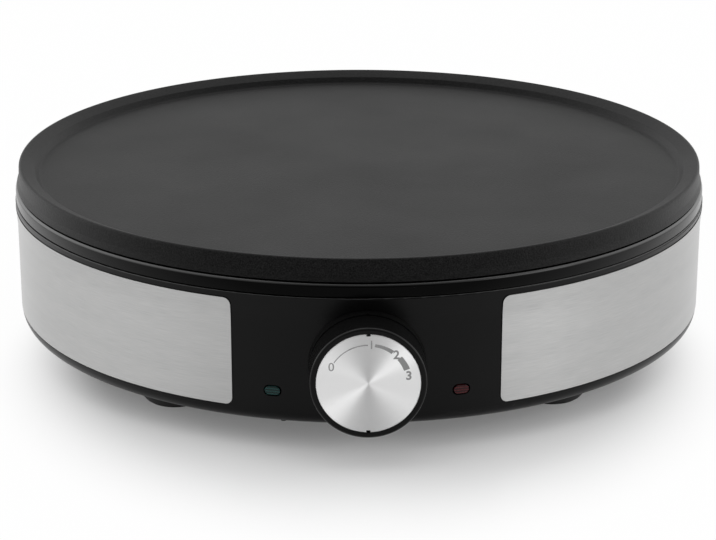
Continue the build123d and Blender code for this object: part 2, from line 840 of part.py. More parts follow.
# ---- Knob: hollow barrel with a hub on the spindle, a spring clip and a spun disc ----
knob_outline = [
    (0, knob_web - knob_face, 0),
    (knob_radius - knob_wall, knob_web - knob_face, knob_inner_fillet),
    (knob_radius + knob_flare - knob_wall, knob_back, 0),
    (knob_radius + knob_flare, knob_back, edge_break),
    (knob_radius, knob_front, knob_edge_fillet),
    (disc_radius + seat_fit, knob_front, 0),
    (disc_radius + seat_fit, knob_web, 0),
    (0, knob_web, 0),
]
knob_axis = Axis((0, 0, knob_height - surface_height), (0, -1, 0))
knob_section = Plane((0, 0, knob_height - surface_height), x_dir=(1, 0, 0), z_dir=(0, 0, -1))
hub_bore = spindle_radius + seat_fit
bore_end = spindle_end + seat_fit

with BuildPart() as knob:
    with BuildSketch(knob_section):
        with BuildLine():
            FilletPolyline(*points(knob_outline), radius=radii(knob_outline), close=True)
        make_face()
    revolve(axis=knob_axis)
    with BuildSketch(front(knob_back)):
        Circle(hub_radius)
    extrude(amount=knob_web - knob_face / 2 - knob_back)
    with BuildSketch(front(knob_back + knob_gap)):
        with PolarLocations((hub_radius + knob_radius - knob_wall) / 2, knob_rib_count):
            Rectangle(knob_radius - hub_radius, knob_rib_thickness)
    extrude(amount=knob_web - knob_face / 2 - knob_back - knob_gap)
    with BuildSketch(front(knob_back)):
        Circle(hub_bore)
        with Locations((0, hub_bore)):
            Rectangle(2 * hub_bore, 2 * spindle_flat, mode=Mode.SUBTRACT)
    extrude(amount=bore_end - knob_back, mode=Mode.SUBTRACT)
    with BuildSketch(front(knob_back)):
        Circle(hub_radius + clip_thickness + 2 * seat_fit)
        Circle(hub_radius, mode=Mode.SUBTRACT)
    extrude(amount=clip_width + seat_fit, mode=Mode.SUBTRACT)
save(knob, "knob")

with BuildPart() as knob_clip:
    with BuildSketch(front(knob_back + knob_gap)):
        Circle(hub_radius + seat_fit + clip_thickness)
        Circle(hub_radius + seat_fit, mode=Mode.SUBTRACT)
        with Locations((0, -hub_radius)):
            Rectangle(clip_mouth, 4 * clip_thickness, mode=Mode.SUBTRACT)
    extrude(amount=clip_width - knob_gap)
save(knob_clip, "knob_clip")

with BuildPart() as knob_disc:
    with BuildSketch(front(knob_web)):
        Circle(disc_radius)
    extrude(amount=disc_thickness)
    fillet(edges().sort_by(Axis.Y)[0], radius=disc_edge_fillet)
    with BuildSketch(front(knob_web)):
        with Locations((0, disc_radius), (0, -disc_radius)):
            Rectangle(notch_width, 2 * notch_depth)
    extrude(amount=disc_thickness, mode=Mode.SUBTRACT)
save(knob_disc, "knob_disc")


# ---- Indicators: lens and neon lamp at each side of the knob ----
lens_shoulder = wall_radius(lens_height) - wall_thickness - 2 * seat_fit
lamp_front = lens_shoulder - 2 * lens_flange_thickness

for colour, indicator_azimuth in (("green", -lens_azimuth), ("red", lens_azimuth)):
    outwards = Axis((0, 0, 0), facing(indicator_azimuth, lens_height, lens_shoulder).z_dir)
    with BuildPart() as lens:
        with BuildSketch(facing(indicator_azimuth, lens_height, lens_shoulder)):
            RectangleRounded(
                lens_width - 2 * seat_fit, lens_tall - 2 * seat_fit, lens_tall / 2 - 2 * seat_fit
            )
        extrude(amount=wall_thickness + lens_proud + 2 * seat_fit)
        fillet(faces().sort_by(outwards)[-1].edges(), radius=lens_proud)
        with BuildSketch(facing(indicator_azimuth, lens_height, lens_shoulder)):
            RectangleRounded(lens_width + 2 * lens_flange, lens_tall + 2 * lens_flange, lens_flange)
        extrude(amount=-lens_flange_thickness)
        with BuildSketch(facing(indicator_azimuth, lens_height, lens_shoulder)):
            Circle(lamp_radius + lens_flange_thickness)
        extrude(amount=-lens_length)
        with BuildSketch(facing(indicator_azimuth, lens_height, lens_shoulder - lens_length)):
            Circle(lamp_radius + seat_fit)
        extrude(amount=lens_length - lens_flange_thickness, mode=Mode.SUBTRACT)
    save(lens, f"indicator_lens_{colour}")
    with BuildPart() as lamp:
        with BuildSketch(facing(indicator_azimuth, lens_height, lamp_front)):
            Circle(lamp_radius)
        extrude(amount=-lamp_length)
        fillet(edges().filter_by(GeomType.CIRCLE), radius=lamp_radius / 2)
    save(lamp, f"indicator_lamp_{colour}")


# ---- Thermal fuse under its strap, earth tag and the screws into the plate's underside ----
fuse_section = Plane(
    (fuse_x, fuse_y, clip_seat + fuse_radius - surface_height), x_dir=(1, 0, 0), z_dir=(0, -1, 0)
)
strap_inner = fuse_radius + seat_fit
strap_outer = strap_inner + clip_strap_thickness

with BuildPart() as thermal_fuse:
    with BuildSketch(fuse_section):
        Circle(fuse_radius)
    extrude(amount=fuse_length / 2, both=True)
save(thermal_fuse, "thermal_fuse")

with BuildPart() as fuse_clip:
    with BuildSketch(fuse_section):
        Circle(strap_outer)
        with Locations((strap_inner, -clip_strap_thickness / 2)):
            Rectangle(
                clip_strap_thickness + clip_foot,
                clip_strap_thickness,
                align=(Align.MIN, Align.CENTER),
            )
        Circle(strap_inner, mode=Mode.SUBTRACT)
        with Locations((0, strap_outer / 2)):
            Rectangle(2 * strap_outer, strap_outer, mode=Mode.SUBTRACT)
    extrude(amount=clip_strap_width / 2, both=True)
    with BuildSketch(level(bracket_arm_top)):
        with Locations(fuse_screw):
            Circle(machine_screw_radius + seat_fit)
    extrude(amount=-2 * clip_strap_thickness, mode=Mode.SUBTRACT)
save(fuse_clip, "fuse_clip")

with BuildPart() as earth_tag:
    with BuildSketch(level(bracket_arm_top)):
        with Locations((earth_x, earth_y)):
            Circle(tag_radius)
        with Locations((earth_x + tag_radius + tag_tail / 2, earth_y)):
            Rectangle(tag_tail + tag_radius, 2 * lead_radius)
        with Locations((earth_x, earth_y)):
            Circle(machine_screw_radius + seat_fit, mode=Mode.SUBTRACT)
    extrude(amount=-tag_thickness)
save(earth_tag, "earth_tag")

screw_grips = [
    *[(place, bracket_thickness) for place in bracket_screws],
    (fuse_screw, clip_strap_thickness),
    ((earth_x, earth_y), tag_thickness),
]
with BuildPart() as machine_screws:
    for screw_place, grip in screw_grips:
        with BuildSketch(level(bracket_arm_top - grip)):
            with Locations(screw_place):
                Circle(machine_screw_head)
        extrude(amount=-machine_screw_head_height)
        with BuildSketch(level(bracket_arm_top - grip)):
            with Locations(screw_place):
                Circle(machine_screw_radius)
        extrude(amount=grip + machine_screw_grip)
save(machine_screws, "machine_screws")


# ---- Terminal block on the base cover ----
block_wire_height = cover_top + block_tall / 3
block_places = [(x, block_y) for x in (-block_pitch, 0, block_pitch)]

with BuildPart() as terminal_block:
    with BuildSketch(level(cover_top)):
        with Locations((0, block_y)):
            RectangleRounded(block_length, block_width, block_corner)
    extrude(amount=block_tall)
    with BuildSketch(facing(0, block_wire_height, block_width - block_y)):
        with Locations(*[(x, 0) for x, _ in block_places]):
            Circle(block_wire_radius)
    extrude(amount=-2 * block_width, mode=Mode.SUBTRACT)
    with BuildSketch(level(cover_top + block_tall)):
        with Locations(*block_places):
            Circle(block_screw_radius + seat_fit)
    extrude(amount=-block_tall / 2, mode=Mode.SUBTRACT)
save(terminal_block, "terminal_block")

with BuildPart() as terminal_screws:
    with BuildSketch(level(cover_top + block_tall)):
        with Locations(*block_places):
            Circle(block_screw_radius)
    extrude(amount=-block_tall / 2)
save(terminal_screws, "terminal_screws")


# ---- Leads between the block, the thermostat, the fuse and the element ----
def spot(x, y, height):
    """Point at a height above the worktop."""
    return (x, y, height - surface_height)


def lead(*route):
    """Insulated lead along straight runs with rounded turns."""
    with BuildPart() as wire:
        with BuildLine() as path:
            FilletPolyline(*[spot(*place) for place in route], radius=lead_bend)
        with BuildSketch(Plane(path.line @ 0, z_dir=path.line % 0)):
            Circle(lead_radius)
        sweep(path=path.line)
    return wire


tab_end = thermostat_deep + tab_length - bracket_back
pin_bottom = leg_bottom - pin_length
block_front = block_y - block_width / 2
fuse_height = clip_seat + fuse_radius
hole_front, hole_rear, hole_earth = lead_holes
leg_right, leg_left = leg_places
block_mouth = block_front + block_width / 3
block_rear_mouth = block_y + block_width / 6

block_wire_run = block_front - lead_run
tab_run = tab_end + lead_run
tag_height = bracket_arm_top - tag_thickness / 2

save(
    lead(
        (-block_pitch, block_mouth, block_wire_height),
        (-block_pitch, block_wire_run, block_wire_height),
        (-tab_spacing / 2 - lead_step, -lead_run, knob_height - lead_step),
        (-tab_spacing / 2, tab_run, knob_height),
        (-tab_spacing / 2, tab_end, knob_height),
    ),
    "lead_live",
)
save(
    lead(
        (tab_spacing / 2, tab_end, knob_height),
        (tab_spacing / 2, tab_run, knob_height),
        (hole_front[0], hole_front[1] - lead_run, knob_height),
        (*hole_front, shield_floor - lead_hang),
        (*hole_front, shield_floor + lead_rise),
        (fuse_x, fuse_y - fuse_length, fuse_height),
        (fuse_x, fuse_y - fuse_length / 2, fuse_height),
    ),
    "lead_fuse_in",
)
save(
    lead(
        (fuse_x, fuse_y + fuse_length / 2, fuse_height),
        (fuse_x, fuse_y + fuse_length, fuse_height),
        (*hole_rear, shield_floor + lead_rise),
        (*hole_rear, shield_floor - lead_hang),
        (hole_rear[0] / 2, (hole_rear[1] + leg_left[1]) / 2, pin_bottom - lead_rise),
        (*leg_left, pin_bottom - lead_hang),
        (*leg_left, pin_bottom),
    ),
    "lead_fuse_out",
)
save(
    lead(
        (block_pitch, block_rear_mouth, block_wire_height),
        (block_pitch, block_y + block_width / 2 + lead_hang, block_wire_height),
        (*leg_right, block_wire_height + lead_rise),
        (*leg_right, pin_bottom),
    ),
    "lead_neutral",
)
save(
    lead(
        (0, block_mouth, block_wire_height),
        (0, block_wire_run, block_wire_height),
        (*hole_earth, knob_height),
        (*hole_earth, tag_height),
        (earth_x + 1.5 * tag_radius + tag_tail, earth_y, tag_height),
    ),
    "lead_earth",
)


# ---- Cord gland: bush in the rear wall with a flange on each side ----
gland_face = wall_radius(gland_height + gland_flange_radius) + seat_fit
gland_back = wall_radius(gland_height - gland_flange_radius) - wall_thickness
gland_sag = gland_back - sqrt(gland_back**2 - gland_flange_radius**2)
gland_grip = gland_face - gland_back + gland_sag + seat_fit

with BuildPart() as cord_gland:
    with BuildSketch(facing(180, gland_height, gland_face)):
        Circle(gland_flange_radius)
    extrude(amount=gland_flange_thickness)
    with BuildSketch(facing(180, gland_height, gland_face)):
        Circle(gland_radius)
    extrude(amount=-gland_grip - gland_flange_thickness - gland_nose)
    with BuildSketch(facing(180, gland_height, gland_face - gland_grip)):
        Circle(gland_flange_radius)
    extrude(amount=-gland_flange_thickness)
    with BuildSketch(facing(180, gland_height, gland_face + gland_flange_thickness)):
        Circle(gland_bore)
    extrude(
        amount=-gland_grip - 2 * gland_flange_thickness - gland_nose, mode=Mode.SUBTRACT
    )
save(cord_gland, "cord_gland")
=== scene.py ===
import math

import bmesh
import bpy
from mathutils import Matrix, Vector


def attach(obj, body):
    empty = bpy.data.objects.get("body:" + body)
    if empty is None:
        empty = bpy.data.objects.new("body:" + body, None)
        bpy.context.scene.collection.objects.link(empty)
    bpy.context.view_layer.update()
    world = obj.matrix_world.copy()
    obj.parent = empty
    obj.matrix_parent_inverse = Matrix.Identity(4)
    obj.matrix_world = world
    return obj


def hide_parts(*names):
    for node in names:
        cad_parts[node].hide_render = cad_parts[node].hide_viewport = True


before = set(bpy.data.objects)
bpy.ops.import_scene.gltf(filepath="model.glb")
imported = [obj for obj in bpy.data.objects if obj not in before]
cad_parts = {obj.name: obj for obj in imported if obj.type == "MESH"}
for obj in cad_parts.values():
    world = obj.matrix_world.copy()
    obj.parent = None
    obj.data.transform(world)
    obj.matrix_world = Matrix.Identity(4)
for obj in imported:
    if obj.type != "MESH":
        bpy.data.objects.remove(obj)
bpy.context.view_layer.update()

scene = bpy.context.scene
MM = 0.001

# Sizes in millimetres, in the frame's own axes: the origin is the centre of the cooking surface.
WORKTOP = -74.3
WALL_RADIUS = 151.3
WALL_FOOT = -64.0
FOOT_ROUNDING = 5.2
UNDERSIDE_RADIUS = 144.4
UNDERSIDE_HEIGHT = -3.5
DISC_AXIS_HEIGHT = -38.5
DISC_FACE = -169.25
DIAL_RADIUS = 15.7
FIGURE_HEIGHT = 3.4
PRINT_THICKNESS = 0.03
LENS_ARC = 37.42  # from the front centre to a lens, along the wall
LENS_HEIGHT = -50.1
WINDOW_HALF_WIDTH, WINDOW_HALF_HEIGHT = 3.15, 1.8
WINDOW_OPENING = 0.5  # how far a window's outer edge opens round its lens

# How finely the new meshes are divided, and what counts as one point or as a sharp edge in them.
TURN_STEPS = 396
ROUNDING_STEPS = 10
BAND_STEPS = 33
HEAD_SIDES, SHANK_SIDES = 40, 24
SAME_POINT = 0.000001  # metres
SAME_CAD_POINT = 0.0000001  # metres, so that a CAD mesh keeps every corner and its normal
SHARP_ANGLE = math.radians(28)


# ---- Small helpers ----
def linear(hex_colour):
    """Linear RGBA of an sRGB hex colour."""
    channels = [int(hex_colour[place:place + 2], 16) / 255 for place in (1, 3, 5)]
    return (*[c / 12.92 if c <= 0.04045 else ((c + 0.055) / 1.055) ** 2.4 for c in channels], 1.0)


def add(tree, kind, inputs=None, **settings):
    """A node with its settings, each input given as a value or as the output that feeds it."""
    node = tree.nodes.new(kind)
    for name, value in settings.items():
        setattr(node, name, value)
    for socket, value in (inputs or {}).items():
        if isinstance(value, bpy.types.NodeSocket):
            tree.links.new(value, node.inputs[socket])
        else:
            node.inputs[socket].default_value = value
    return node


def surface(name, **sockets):
    """A material with one Principled shader, and the tree that its pattern goes into."""
    material = bpy.data.materials.new(name)
    material.use_nodes = True
    tree = material.node_tree
    shader = tree.nodes["Principled BSDF"]
    for socket, value in sockets.items():
        shader.inputs[socket.replace("_", " ")].default_value = value
    return material, tree, shader


def in_millimetres(tree, centre=(0, 0, 0)):
    """The object's own coordinates in millimetres, measured from a centre."""
    coordinates = add(tree, "ShaderNodeTexCoord")
    return add(
        tree,
        "ShaderNodeMapping",
        {
            "Vector": coordinates.outputs["Object"],
            "Scale": (1000, 1000, 1000),
            "Location": [-value for value in centre],
        },
    ).outputs["Vector"]


# ---- Camera: a long lens from the front, a little to the left and above the plate ----
AIM = Vector((-0.00045, 0.0, -0.0509))
DISTANCE = 1.035
ELEVATION = math.radians(19.0)
AZIMUTH = math.radians(-1.2)

camera_lens = bpy.data.cameras.new("camera")
camera_lens.sensor_width = 36.0
camera_lens.lens = 114.9
camera_lens.clip_start, camera_lens.clip_end = 0.05, 50.0
camera = bpy.data.objects.new("camera", camera_lens)
scene.collection.objects.link(camera)
scene.camera = camera
back = Vector((
    math.sin(AZIMUTH) * math.cos(ELEVATION),
    -math.cos(AZIMUTH) * math.cos(ELEVATION),
    math.sin(ELEVATION),
))
camera.rotation_mode = "QUATERNION"
camera.location = AIM + back * DISTANCE
camera.rotation_quaternion = (-back).to_track_quat("-Z", "Y")

# ---- Light: one soft box overhead and one at the front right, in a pale room ----
scene.view_settings.view_transform = "Standard"


def soft_box(name, place, target, width, height, watts):
    """A rectangular area light turned towards a point."""
    light = bpy.data.lights.new(name, "AREA")
    light.shape = "RECTANGLE"
    light.size, light.size_y = width, height
    light.energy = watts
    lamp = bpy.data.objects.new(name, light)
    scene.collection.objects.link(lamp)
    lamp.location = place
    lamp.rotation_mode = "QUATERNION"
    lamp.rotation_quaternion = (Vector(target) - Vector(place)).to_track_quat("-Z", "Y")


LAMP_WATTS = {"overhead": 4.0, "right": 5.0}
soft_box("overhead_box", (0.0, 0.25, 1.5), (0, 0, 0), 1.6, 1.2, LAMP_WATTS["overhead"])
soft_box("right_box", (1.25, -0.9, 0.5), (0, 0, -0.03), 0.8, 0.9, LAMP_WATTS["right"])

# The room's bright sides, each a broad soft lobe: (axis, side, brightness). Its front is dark, and the
# worktop hides what lies below.
ROOM_SIDES = {
    "left": ("X", -1, 2.38),
    "right": ("X", 1, 1.94),
    "back": ("Y", 1, 0.68),
    "ceiling": ("Z", 1, 0.61),
}
world = bpy.data.worlds.new("pale_room")
scene.world = world
world.use_nodes = True
room = world.node_tree
direction = add(room, "ShaderNodeTexCoord")
split = add(room, "ShaderNodeSeparateXYZ", {"Vector": direction.outputs["Generated"]})
total = None
for axis, side, brightness in ROOM_SIDES.values():
    facing = add(room, "ShaderNodeMath", {0: split.outputs[axis], 1: side}, operation="MULTIPLY")
    lit = add(room, "ShaderNodeMath", {0: facing.outputs[0], 1: 0.0}, operation="MAXIMUM")
    lobe = add(room, "ShaderNodeMath", {0: lit.outputs[0], 1: 2.0}, operation="POWER")
    total = add(
        room,
        "ShaderNodeMath",
        {0: lobe.outputs[0], 1: brightness, 2: total.outputs[0] if total else 0.0},
        operation="MULTIPLY_ADD",
    )
room.nodes["Background"].inputs["Color"].default_value = (1, 1, 1, 1)
room.links.new(total.outputs[0], room.nodes["Background"].inputs["Strength"])

# ---- Worktop: pale satin table that keeps the object's shadow ----
table_mesh = bpy.data.meshes.new("worktop")
WORKTOP_HALF = 4.0  # metres
UNDER_FEET = 0.05  # millimetres of air, so that no face lies in a foot's
corners = [(-1, -1), (1, -1), (1, 1), (-1, 1)]
table_mesh.from_pydata([(x * WORKTOP_HALF, y * WORKTOP_HALF, 0) for x, y in corners], [], [(0, 1, 2, 3)])
table_mesh.transform(Matrix.Translation((0, 0, (WORKTOP - UNDER_FEET) * MM)))
worktop = bpy.data.objects.new("worktop", table_mesh)
scene.collection.objects.link(worktop)
painted, painted_tree, painted_shader = surface(
    "pale_worktop", Base_Color=linear("#ececec"), Roughness=0.35, Specular_IOR_Level=0.3
)
# A share of plain white, for the rays that show the floor, keeps the shadow soft and pale. It grows
# with the distance from the drum, where the worktop runs into a white backdrop.
WHITE_SHARE_NEAR, WHITE_SHARE_FAR = 0.13, 0.97
SHADOW_MIDDLE = (0, -50, WORKTOP)
SHADOW_NEAR, SHADOW_FAR = 130.0, 195.0  # millimetres from its middle
SHADOW_NARROWING = 1.2  # how many times longer than wide it is
narrowed = add(
    painted_tree,
    "ShaderNodeMapping",
    {"Vector": in_millimetres(painted_tree, SHADOW_MIDDLE), "Scale": (SHADOW_NARROWING, 1, 1)},
)
from_shadow = add(
    painted_tree, "ShaderNodeVectorMath", {0: narrowed.outputs["Vector"]}, operation="LENGTH"
)
plain_white = add(
    painted_tree,
    "ShaderNodeMapRange",
    {
        "Value": from_shadow.outputs["Value"],
        "From Min": SHADOW_NEAR,
        "From Max": SHADOW_FAR,
        "To Min": WHITE_SHARE_NEAR,
        "To Max": WHITE_SHARE_FAR,
    },
    interpolation_type="SMOOTHSTEP",
)
rays = add(painted_tree, "ShaderNodeLightPath")
seen = add(
    painted_tree,
    "ShaderNodeMath",
    {0: rays.outputs["Is Camera Ray"], 1: rays.outputs["Is Glossy Ray"]},
    operation="MAXIMUM",
)
shown = add(
    painted_tree,
    "ShaderNodeMath",
    {0: seen.outputs[0], 1: rays.outputs["Is Transmission Ray"]},
    operation="MAXIMUM",
)
share = add(
    painted_tree,
    "ShaderNodeMath",
    {0: shown.outputs[0], 1: plain_white.outputs["Result"]},
    operation="MULTIPLY",
)
white = add(painted_tree, "ShaderNodeEmission", {"Color": (1, 1, 1, 1), "Strength": 1.0})
floor_mix = add(
    painted_tree,
    "ShaderNodeMixShader",
    {0: share.outputs[0], 1: painted_shader.outputs["BSDF"], 2: white.outputs["Emission"]},
)
painted_output = painted_tree.nodes["Material Output"]
painted_tree.links.new(floor_mix.outputs["Shader"], painted_output.inputs["Surface"])
table_mesh.materials.append(painted)


# ---- Finishes ----
def nonstick_coating():
    """PTFE coating sprayed on cast aluminium: matt black with fine grey flecks and a slight orange peel,
    so that it shines softly at a low angle and shows a fine grain on the skirt."""
    fleck_size, cloud_size, peel_size, peel_depth = 0.45, 60.0, 0.9, 0.14  # millimetres
    material, tree, shader = surface("nonstick_coated_cast_aluminium", IOR=1.38)
    place = in_millimetres(tree)
    flecks = add(tree, "ShaderNodeTexNoise", {"Vector": place, "Scale": 1 / fleck_size, "Detail": 3.0})
    cloud = add(tree, "ShaderNodeTexNoise", {"Vector": place, "Scale": 1 / cloud_size, "Detail": 2.0})
    tone = add(tree, "ShaderNodeValToRGB", {"Fac": flecks.outputs["Fac"]})
    tone.color_ramp.elements[0].position, tone.color_ramp.elements[0].color = 0.35, linear("#090909")
    tone.color_ramp.elements[1].position, tone.color_ramp.elements[1].color = 0.72, linear("#242424")
    rough = add(
        tree,
        "ShaderNodeMapRange",
        {"Value": cloud.outputs["Fac"], "From Min": 0.3, "From Max": 0.7, "To Min": 0.40, "To Max": 0.46},
    )
    peel = add(tree, "ShaderNodeTexNoise", {"Vector": place, "Scale": 1 / peel_size, "Detail": 4.0})
    bump = add(
        tree,
        "ShaderNodeBump",
        {"Height": peel.outputs["Fac"], "Strength": 1.0, "Distance": peel_depth * MM},
    )
    # Its rough skin gives hardly any shine when it is seen straight on.
    facing = add(tree, "ShaderNodeLayerWeight", {"Blend": 0.5})
    shine = add(
        tree,
        "ShaderNodeMapRange",
        {
            "Value": facing.outputs["Facing"],
            "From Min": 0.1,
            "From Max": 0.6,
            "To Min": 0.06,
            "To Max": 0.29,
        },
    )
    tree.links.new(shine.outputs["Result"], shader.inputs["Specular IOR Level"])
    tree.links.new(tone.outputs["Color"], shader.inputs["Base Color"])
    tree.links.new(rough.outputs["Result"], shader.inputs["Roughness"])
    tree.links.new(bump.outputs["Normal"], shader.inputs["Normal"])
    return material


def moulded_plastic(name, colour, roughness, shine, grain_size, grain_depth, crown=0.0):
    """Moulded thermoplastic: a near-black colour with a fine mould grain that softens its gloss when
    it is seen straight on, so that it shines at its rounded edges. The shine is (straight on, at a low
    angle), and the crown is what a polished upward edge adds to it, as a thin light line. The grain's
    size and depth are in millimetres."""
    drift_size = 45.0
    material, tree, shader = surface(name, IOR=1.49)
    facing = add(tree, "ShaderNodeLayerWeight", {"Blend": 0.5})
    gloss = add(
        tree,
        "ShaderNodeMapRange",
        {
            "Value": facing.outputs["Facing"],
            "From Min": 0.1,
            "From Max": 0.6,
            "To Min": shine[0],
            "To Max": shine[1],
        },
    )
    turned_up = add(
        tree,
        "ShaderNodeSeparateXYZ",
        {"Vector": add(tree, "ShaderNodeTexCoord").outputs["Normal"]},
    )
    polish = add(
        tree,
        "ShaderNodeMapRange",
        {
            "Value": turned_up.outputs["Z"],
            "From Min": 0.3,
            "From Max": 0.8,
            "To Min": 0.0,
            "To Max": crown,
        },
    )
    whole_shine = add(
        tree, "ShaderNodeMath", {0: gloss.outputs["Result"], 1: polish.outputs["Result"]}, operation="ADD"
    )
    tree.links.new(whole_shine.outputs[0], shader.inputs["Specular IOR Level"])
    place = in_millimetres(tree)
    grain = add(tree, "ShaderNodeTexNoise", {"Vector": place, "Scale": 1 / grain_size, "Detail": 3.0})
    drift = add(tree, "ShaderNodeTexNoise", {"Vector": place, "Scale": 1 / drift_size, "Detail": 2.0})
    tone = add(tree, "ShaderNodeMix", data_type="RGBA")
    tree.links.new(drift.outputs["Fac"], tone.inputs["Factor"])
    darker = linear(colour)
    tone.inputs["A"].default_value = darker
    tone.inputs["B"].default_value = (*[channel * 1.25 for channel in darker[:3]], 1.0)
    rough = add(
        tree,
        "ShaderNodeMapRange",
        {
            "Value": drift.outputs["Fac"],
            "From Min": 0.3,
            "From Max": 0.7,
            "To Min": roughness - 0.02,
            "To Max": roughness + 0.03,
        },
    )
    bump = add(
        tree,
        "ShaderNodeBump",
        {"Height": grain.outputs["Fac"], "Strength": 0.3, "Distance": grain_depth * MM},
    )
    tree.links.new(tone.outputs["Result"], shader.inputs["Base Color"])
    tree.links.new(rough.outputs["Result"], shader.inputs["Roughness"])
    tree.links.new(bump.outputs["Normal"], shader.inputs["Normal"])
    return material


def brushed_stainless():
    """Stainless sheet brushed round the drum with an abrasive belt: fine level lines that stretch
    every highlight upright, a bright satin grey."""
    # Belt lines about 9 mm long, and the broader bands that a worn belt leaves. Real lines are under
    # 0.1 mm wide and are drawn 0.25 mm wide.
    line_length, line_width = 9.0, 0.25
    band_length, band_width = 70.0, 6.0
    material, tree, shader = surface(
        "belt_brushed_stainless_steel", Metallic=1.0, Roughness=0.34, Anisotropic=0.75
    )
    place = in_millimetres(tree)
    split_place = add(tree, "ShaderNodeSeparateXYZ", {"Vector": place})
    backwards = add(tree, "ShaderNodeMath", {0: split_place.outputs["Y"], 1: -1.0}, operation="MULTIPLY")
    turn = add(
        tree,
        "ShaderNodeMath",
        {0: split_place.outputs["X"], 1: backwards.outputs[0]},
        operation="ARCTAN2",
    )
    along = add(tree, "ShaderNodeMath", {0: turn.outputs[0], 1: WALL_RADIUS}, operation="MULTIPLY")
    flat = add(tree, "ShaderNodeCombineXYZ", {"X": along.outputs[0], "Y": split_place.outputs["Z"]})
    lines_place = add(
        tree,
        "ShaderNodeMapping",
        {"Vector": flat.outputs["Vector"], "Scale": (1 / line_length, 1 / line_width, 1)},
    )
    lines = add(
        tree, "ShaderNodeTexNoise", {"Vector": lines_place.outputs["Vector"], "Scale": 1.0, "Detail": 4.0}
    )
    bands_place = add(
        tree,
        "ShaderNodeMapping",
        {"Vector": flat.outputs["Vector"], "Scale": (1 / band_length, 1 / band_width, 1)},
    )
    bands = add(
        tree, "ShaderNodeTexNoise", {"Vector": bands_place.outputs["Vector"], "Scale": 1.0, "Detail": 3.0}
    )
    brushing = add(
        tree,
        "ShaderNodeMix",
        {"Factor": 0.25, "A": lines.outputs["Fac"], "B": bands.outputs["Fac"]},
        data_type="FLOAT",
    )
    tone = add(tree, "ShaderNodeValToRGB", {"Fac": brushing.outputs["Result"]})
    tone.color_ramp.elements[0].position, tone.color_ramp.elements[0].color = 0.3, linear("#a2a2a2")
    tone.color_ramp.elements[1].position, tone.color_ramp.elements[1].color = 0.7, linear("#b3b3b2")
    rough = add(
        tree,
        "ShaderNodeMapRange",
        {"Value": lines.outputs["Fac"], "From Min": 0.3, "From Max": 0.7, "To Min": 0.30, "To Max": 0.38},
    )
    bump = add(
        tree,
        "ShaderNodeBump",
        {"Height": lines.outputs["Fac"], "Strength": 0.08, "Distance": 0.01 * MM},
    )
    upright = add(tree, "ShaderNodeCombineXYZ", {"Z": 1.0})
    tree.links.new(tone.outputs["Color"], shader.inputs["Base Color"])
    tree.links.new(rough.outputs["Result"], shader.inputs["Roughness"])
    tree.links.new(bump.outputs["Normal"], shader.inputs["Normal"])
    tree.links.new(upright.outputs["Vector"], shader.inputs["Tangent"])
    return material


def spun_aluminium():
    """Aluminium disc turned on a lathe: circular lines that stretch highlights along the radius,
    which gives the light and dark wedges."""
    # Lathe lines: real ones are about 0.05 mm apart and are drawn 0.16 mm apart.
    line_spacing = 0.16
    material, tree, shader = surface("spun_aluminium", Metallic=1.0, Anisotropic=0.97)
    place = in_millimetres(tree, (0, 0, DISC_AXIS_HEIGHT))
    level_parts = add(tree, "ShaderNodeSeparateXYZ", {"Vector": place})
    across = add(
        tree, "ShaderNodeCombineXYZ", {"X": level_parts.outputs["X"], "Z": level_parts.outputs["Z"]}
    )
    radius = add(tree, "ShaderNodeVectorMath", {0: across.outputs["Vector"]}, operation="LENGTH")
    lines = add(
        tree,
        "ShaderNodeTexNoise",
        {"W": radius.outputs["Value"], "Scale": 1 / line_spacing, "Detail": 2.0},
        noise_dimensions="1D",
    )
    tone = add(tree, "ShaderNodeValToRGB", {"Fac": lines.outputs["Fac"]})
    tone.color_ramp.elements[0].position, tone.color_ramp.elements[0].color = 0.3, linear("#f0f0f0")
    tone.color_ramp.elements[1].position, tone.color_ramp.elements[1].color = 0.7, linear("#f6f6f6")
    rough = add(
        tree,
        "ShaderNodeMapRange",
        {"Value": lines.outputs["Fac"], "From Min": 0.3, "From Max": 0.7, "To Min": 0.46, "To Max": 0.52},
    )
    from_axis = add(
        tree,
        "ShaderNodeVectorTransform",
        {"Vector": across.outputs["Vector"]},
        vector_type="VECTOR",
        convert_from="OBJECT",
        convert_to="WORLD",
    )
    unit = add(tree, "ShaderNodeVectorMath", {0: from_axis.outputs["Vector"]}, operation="NORMALIZE")
    tree.links.new(tone.outputs["Color"], shader.inputs["Base Color"])
    tree.links.new(rough.outputs["Result"], shader.inputs["Roughness"])
    tree.links.new(unit.outputs["Vector"], shader.inputs["Tangent"])
    return material


def plain_metal(name, low, high, roughness, grain_size, metallic=1.0):
    """Metal as it comes from the press, the bath or the lathe: a mottled tone and an uneven gloss."""
    material, tree, shader = surface(name, Metallic=metallic)
    place = in_millimetres(tree)
    mottle = add(tree, "ShaderNodeTexNoise", {"Vector": place, "Scale": 1 / grain_size, "Detail": 4.0})
    tone = add(tree, "ShaderNodeValToRGB", {"Fac": mottle.outputs["Fac"]})
    tone.color_ramp.elements[0].position, tone.color_ramp.elements[0].color = 0.3, linear(low)
    tone.color_ramp.elements[1].position, tone.color_ramp.elements[1].color = 0.7, linear(high)
    rough = add(
        tree,
        "ShaderNodeMapRange",
        {
            "Value": mottle.outputs["Fac"],
            "From Min": 0.3,
            "From Max": 0.7,
            "To Min": roughness - 0.06,
            "To Max": roughness + 0.06,
        },
    )
    tree.links.new(tone.outputs["Color"], shader.inputs["Base Color"])
    tree.links.new(rough.outputs["Result"], shader.inputs["Roughness"])
    return material


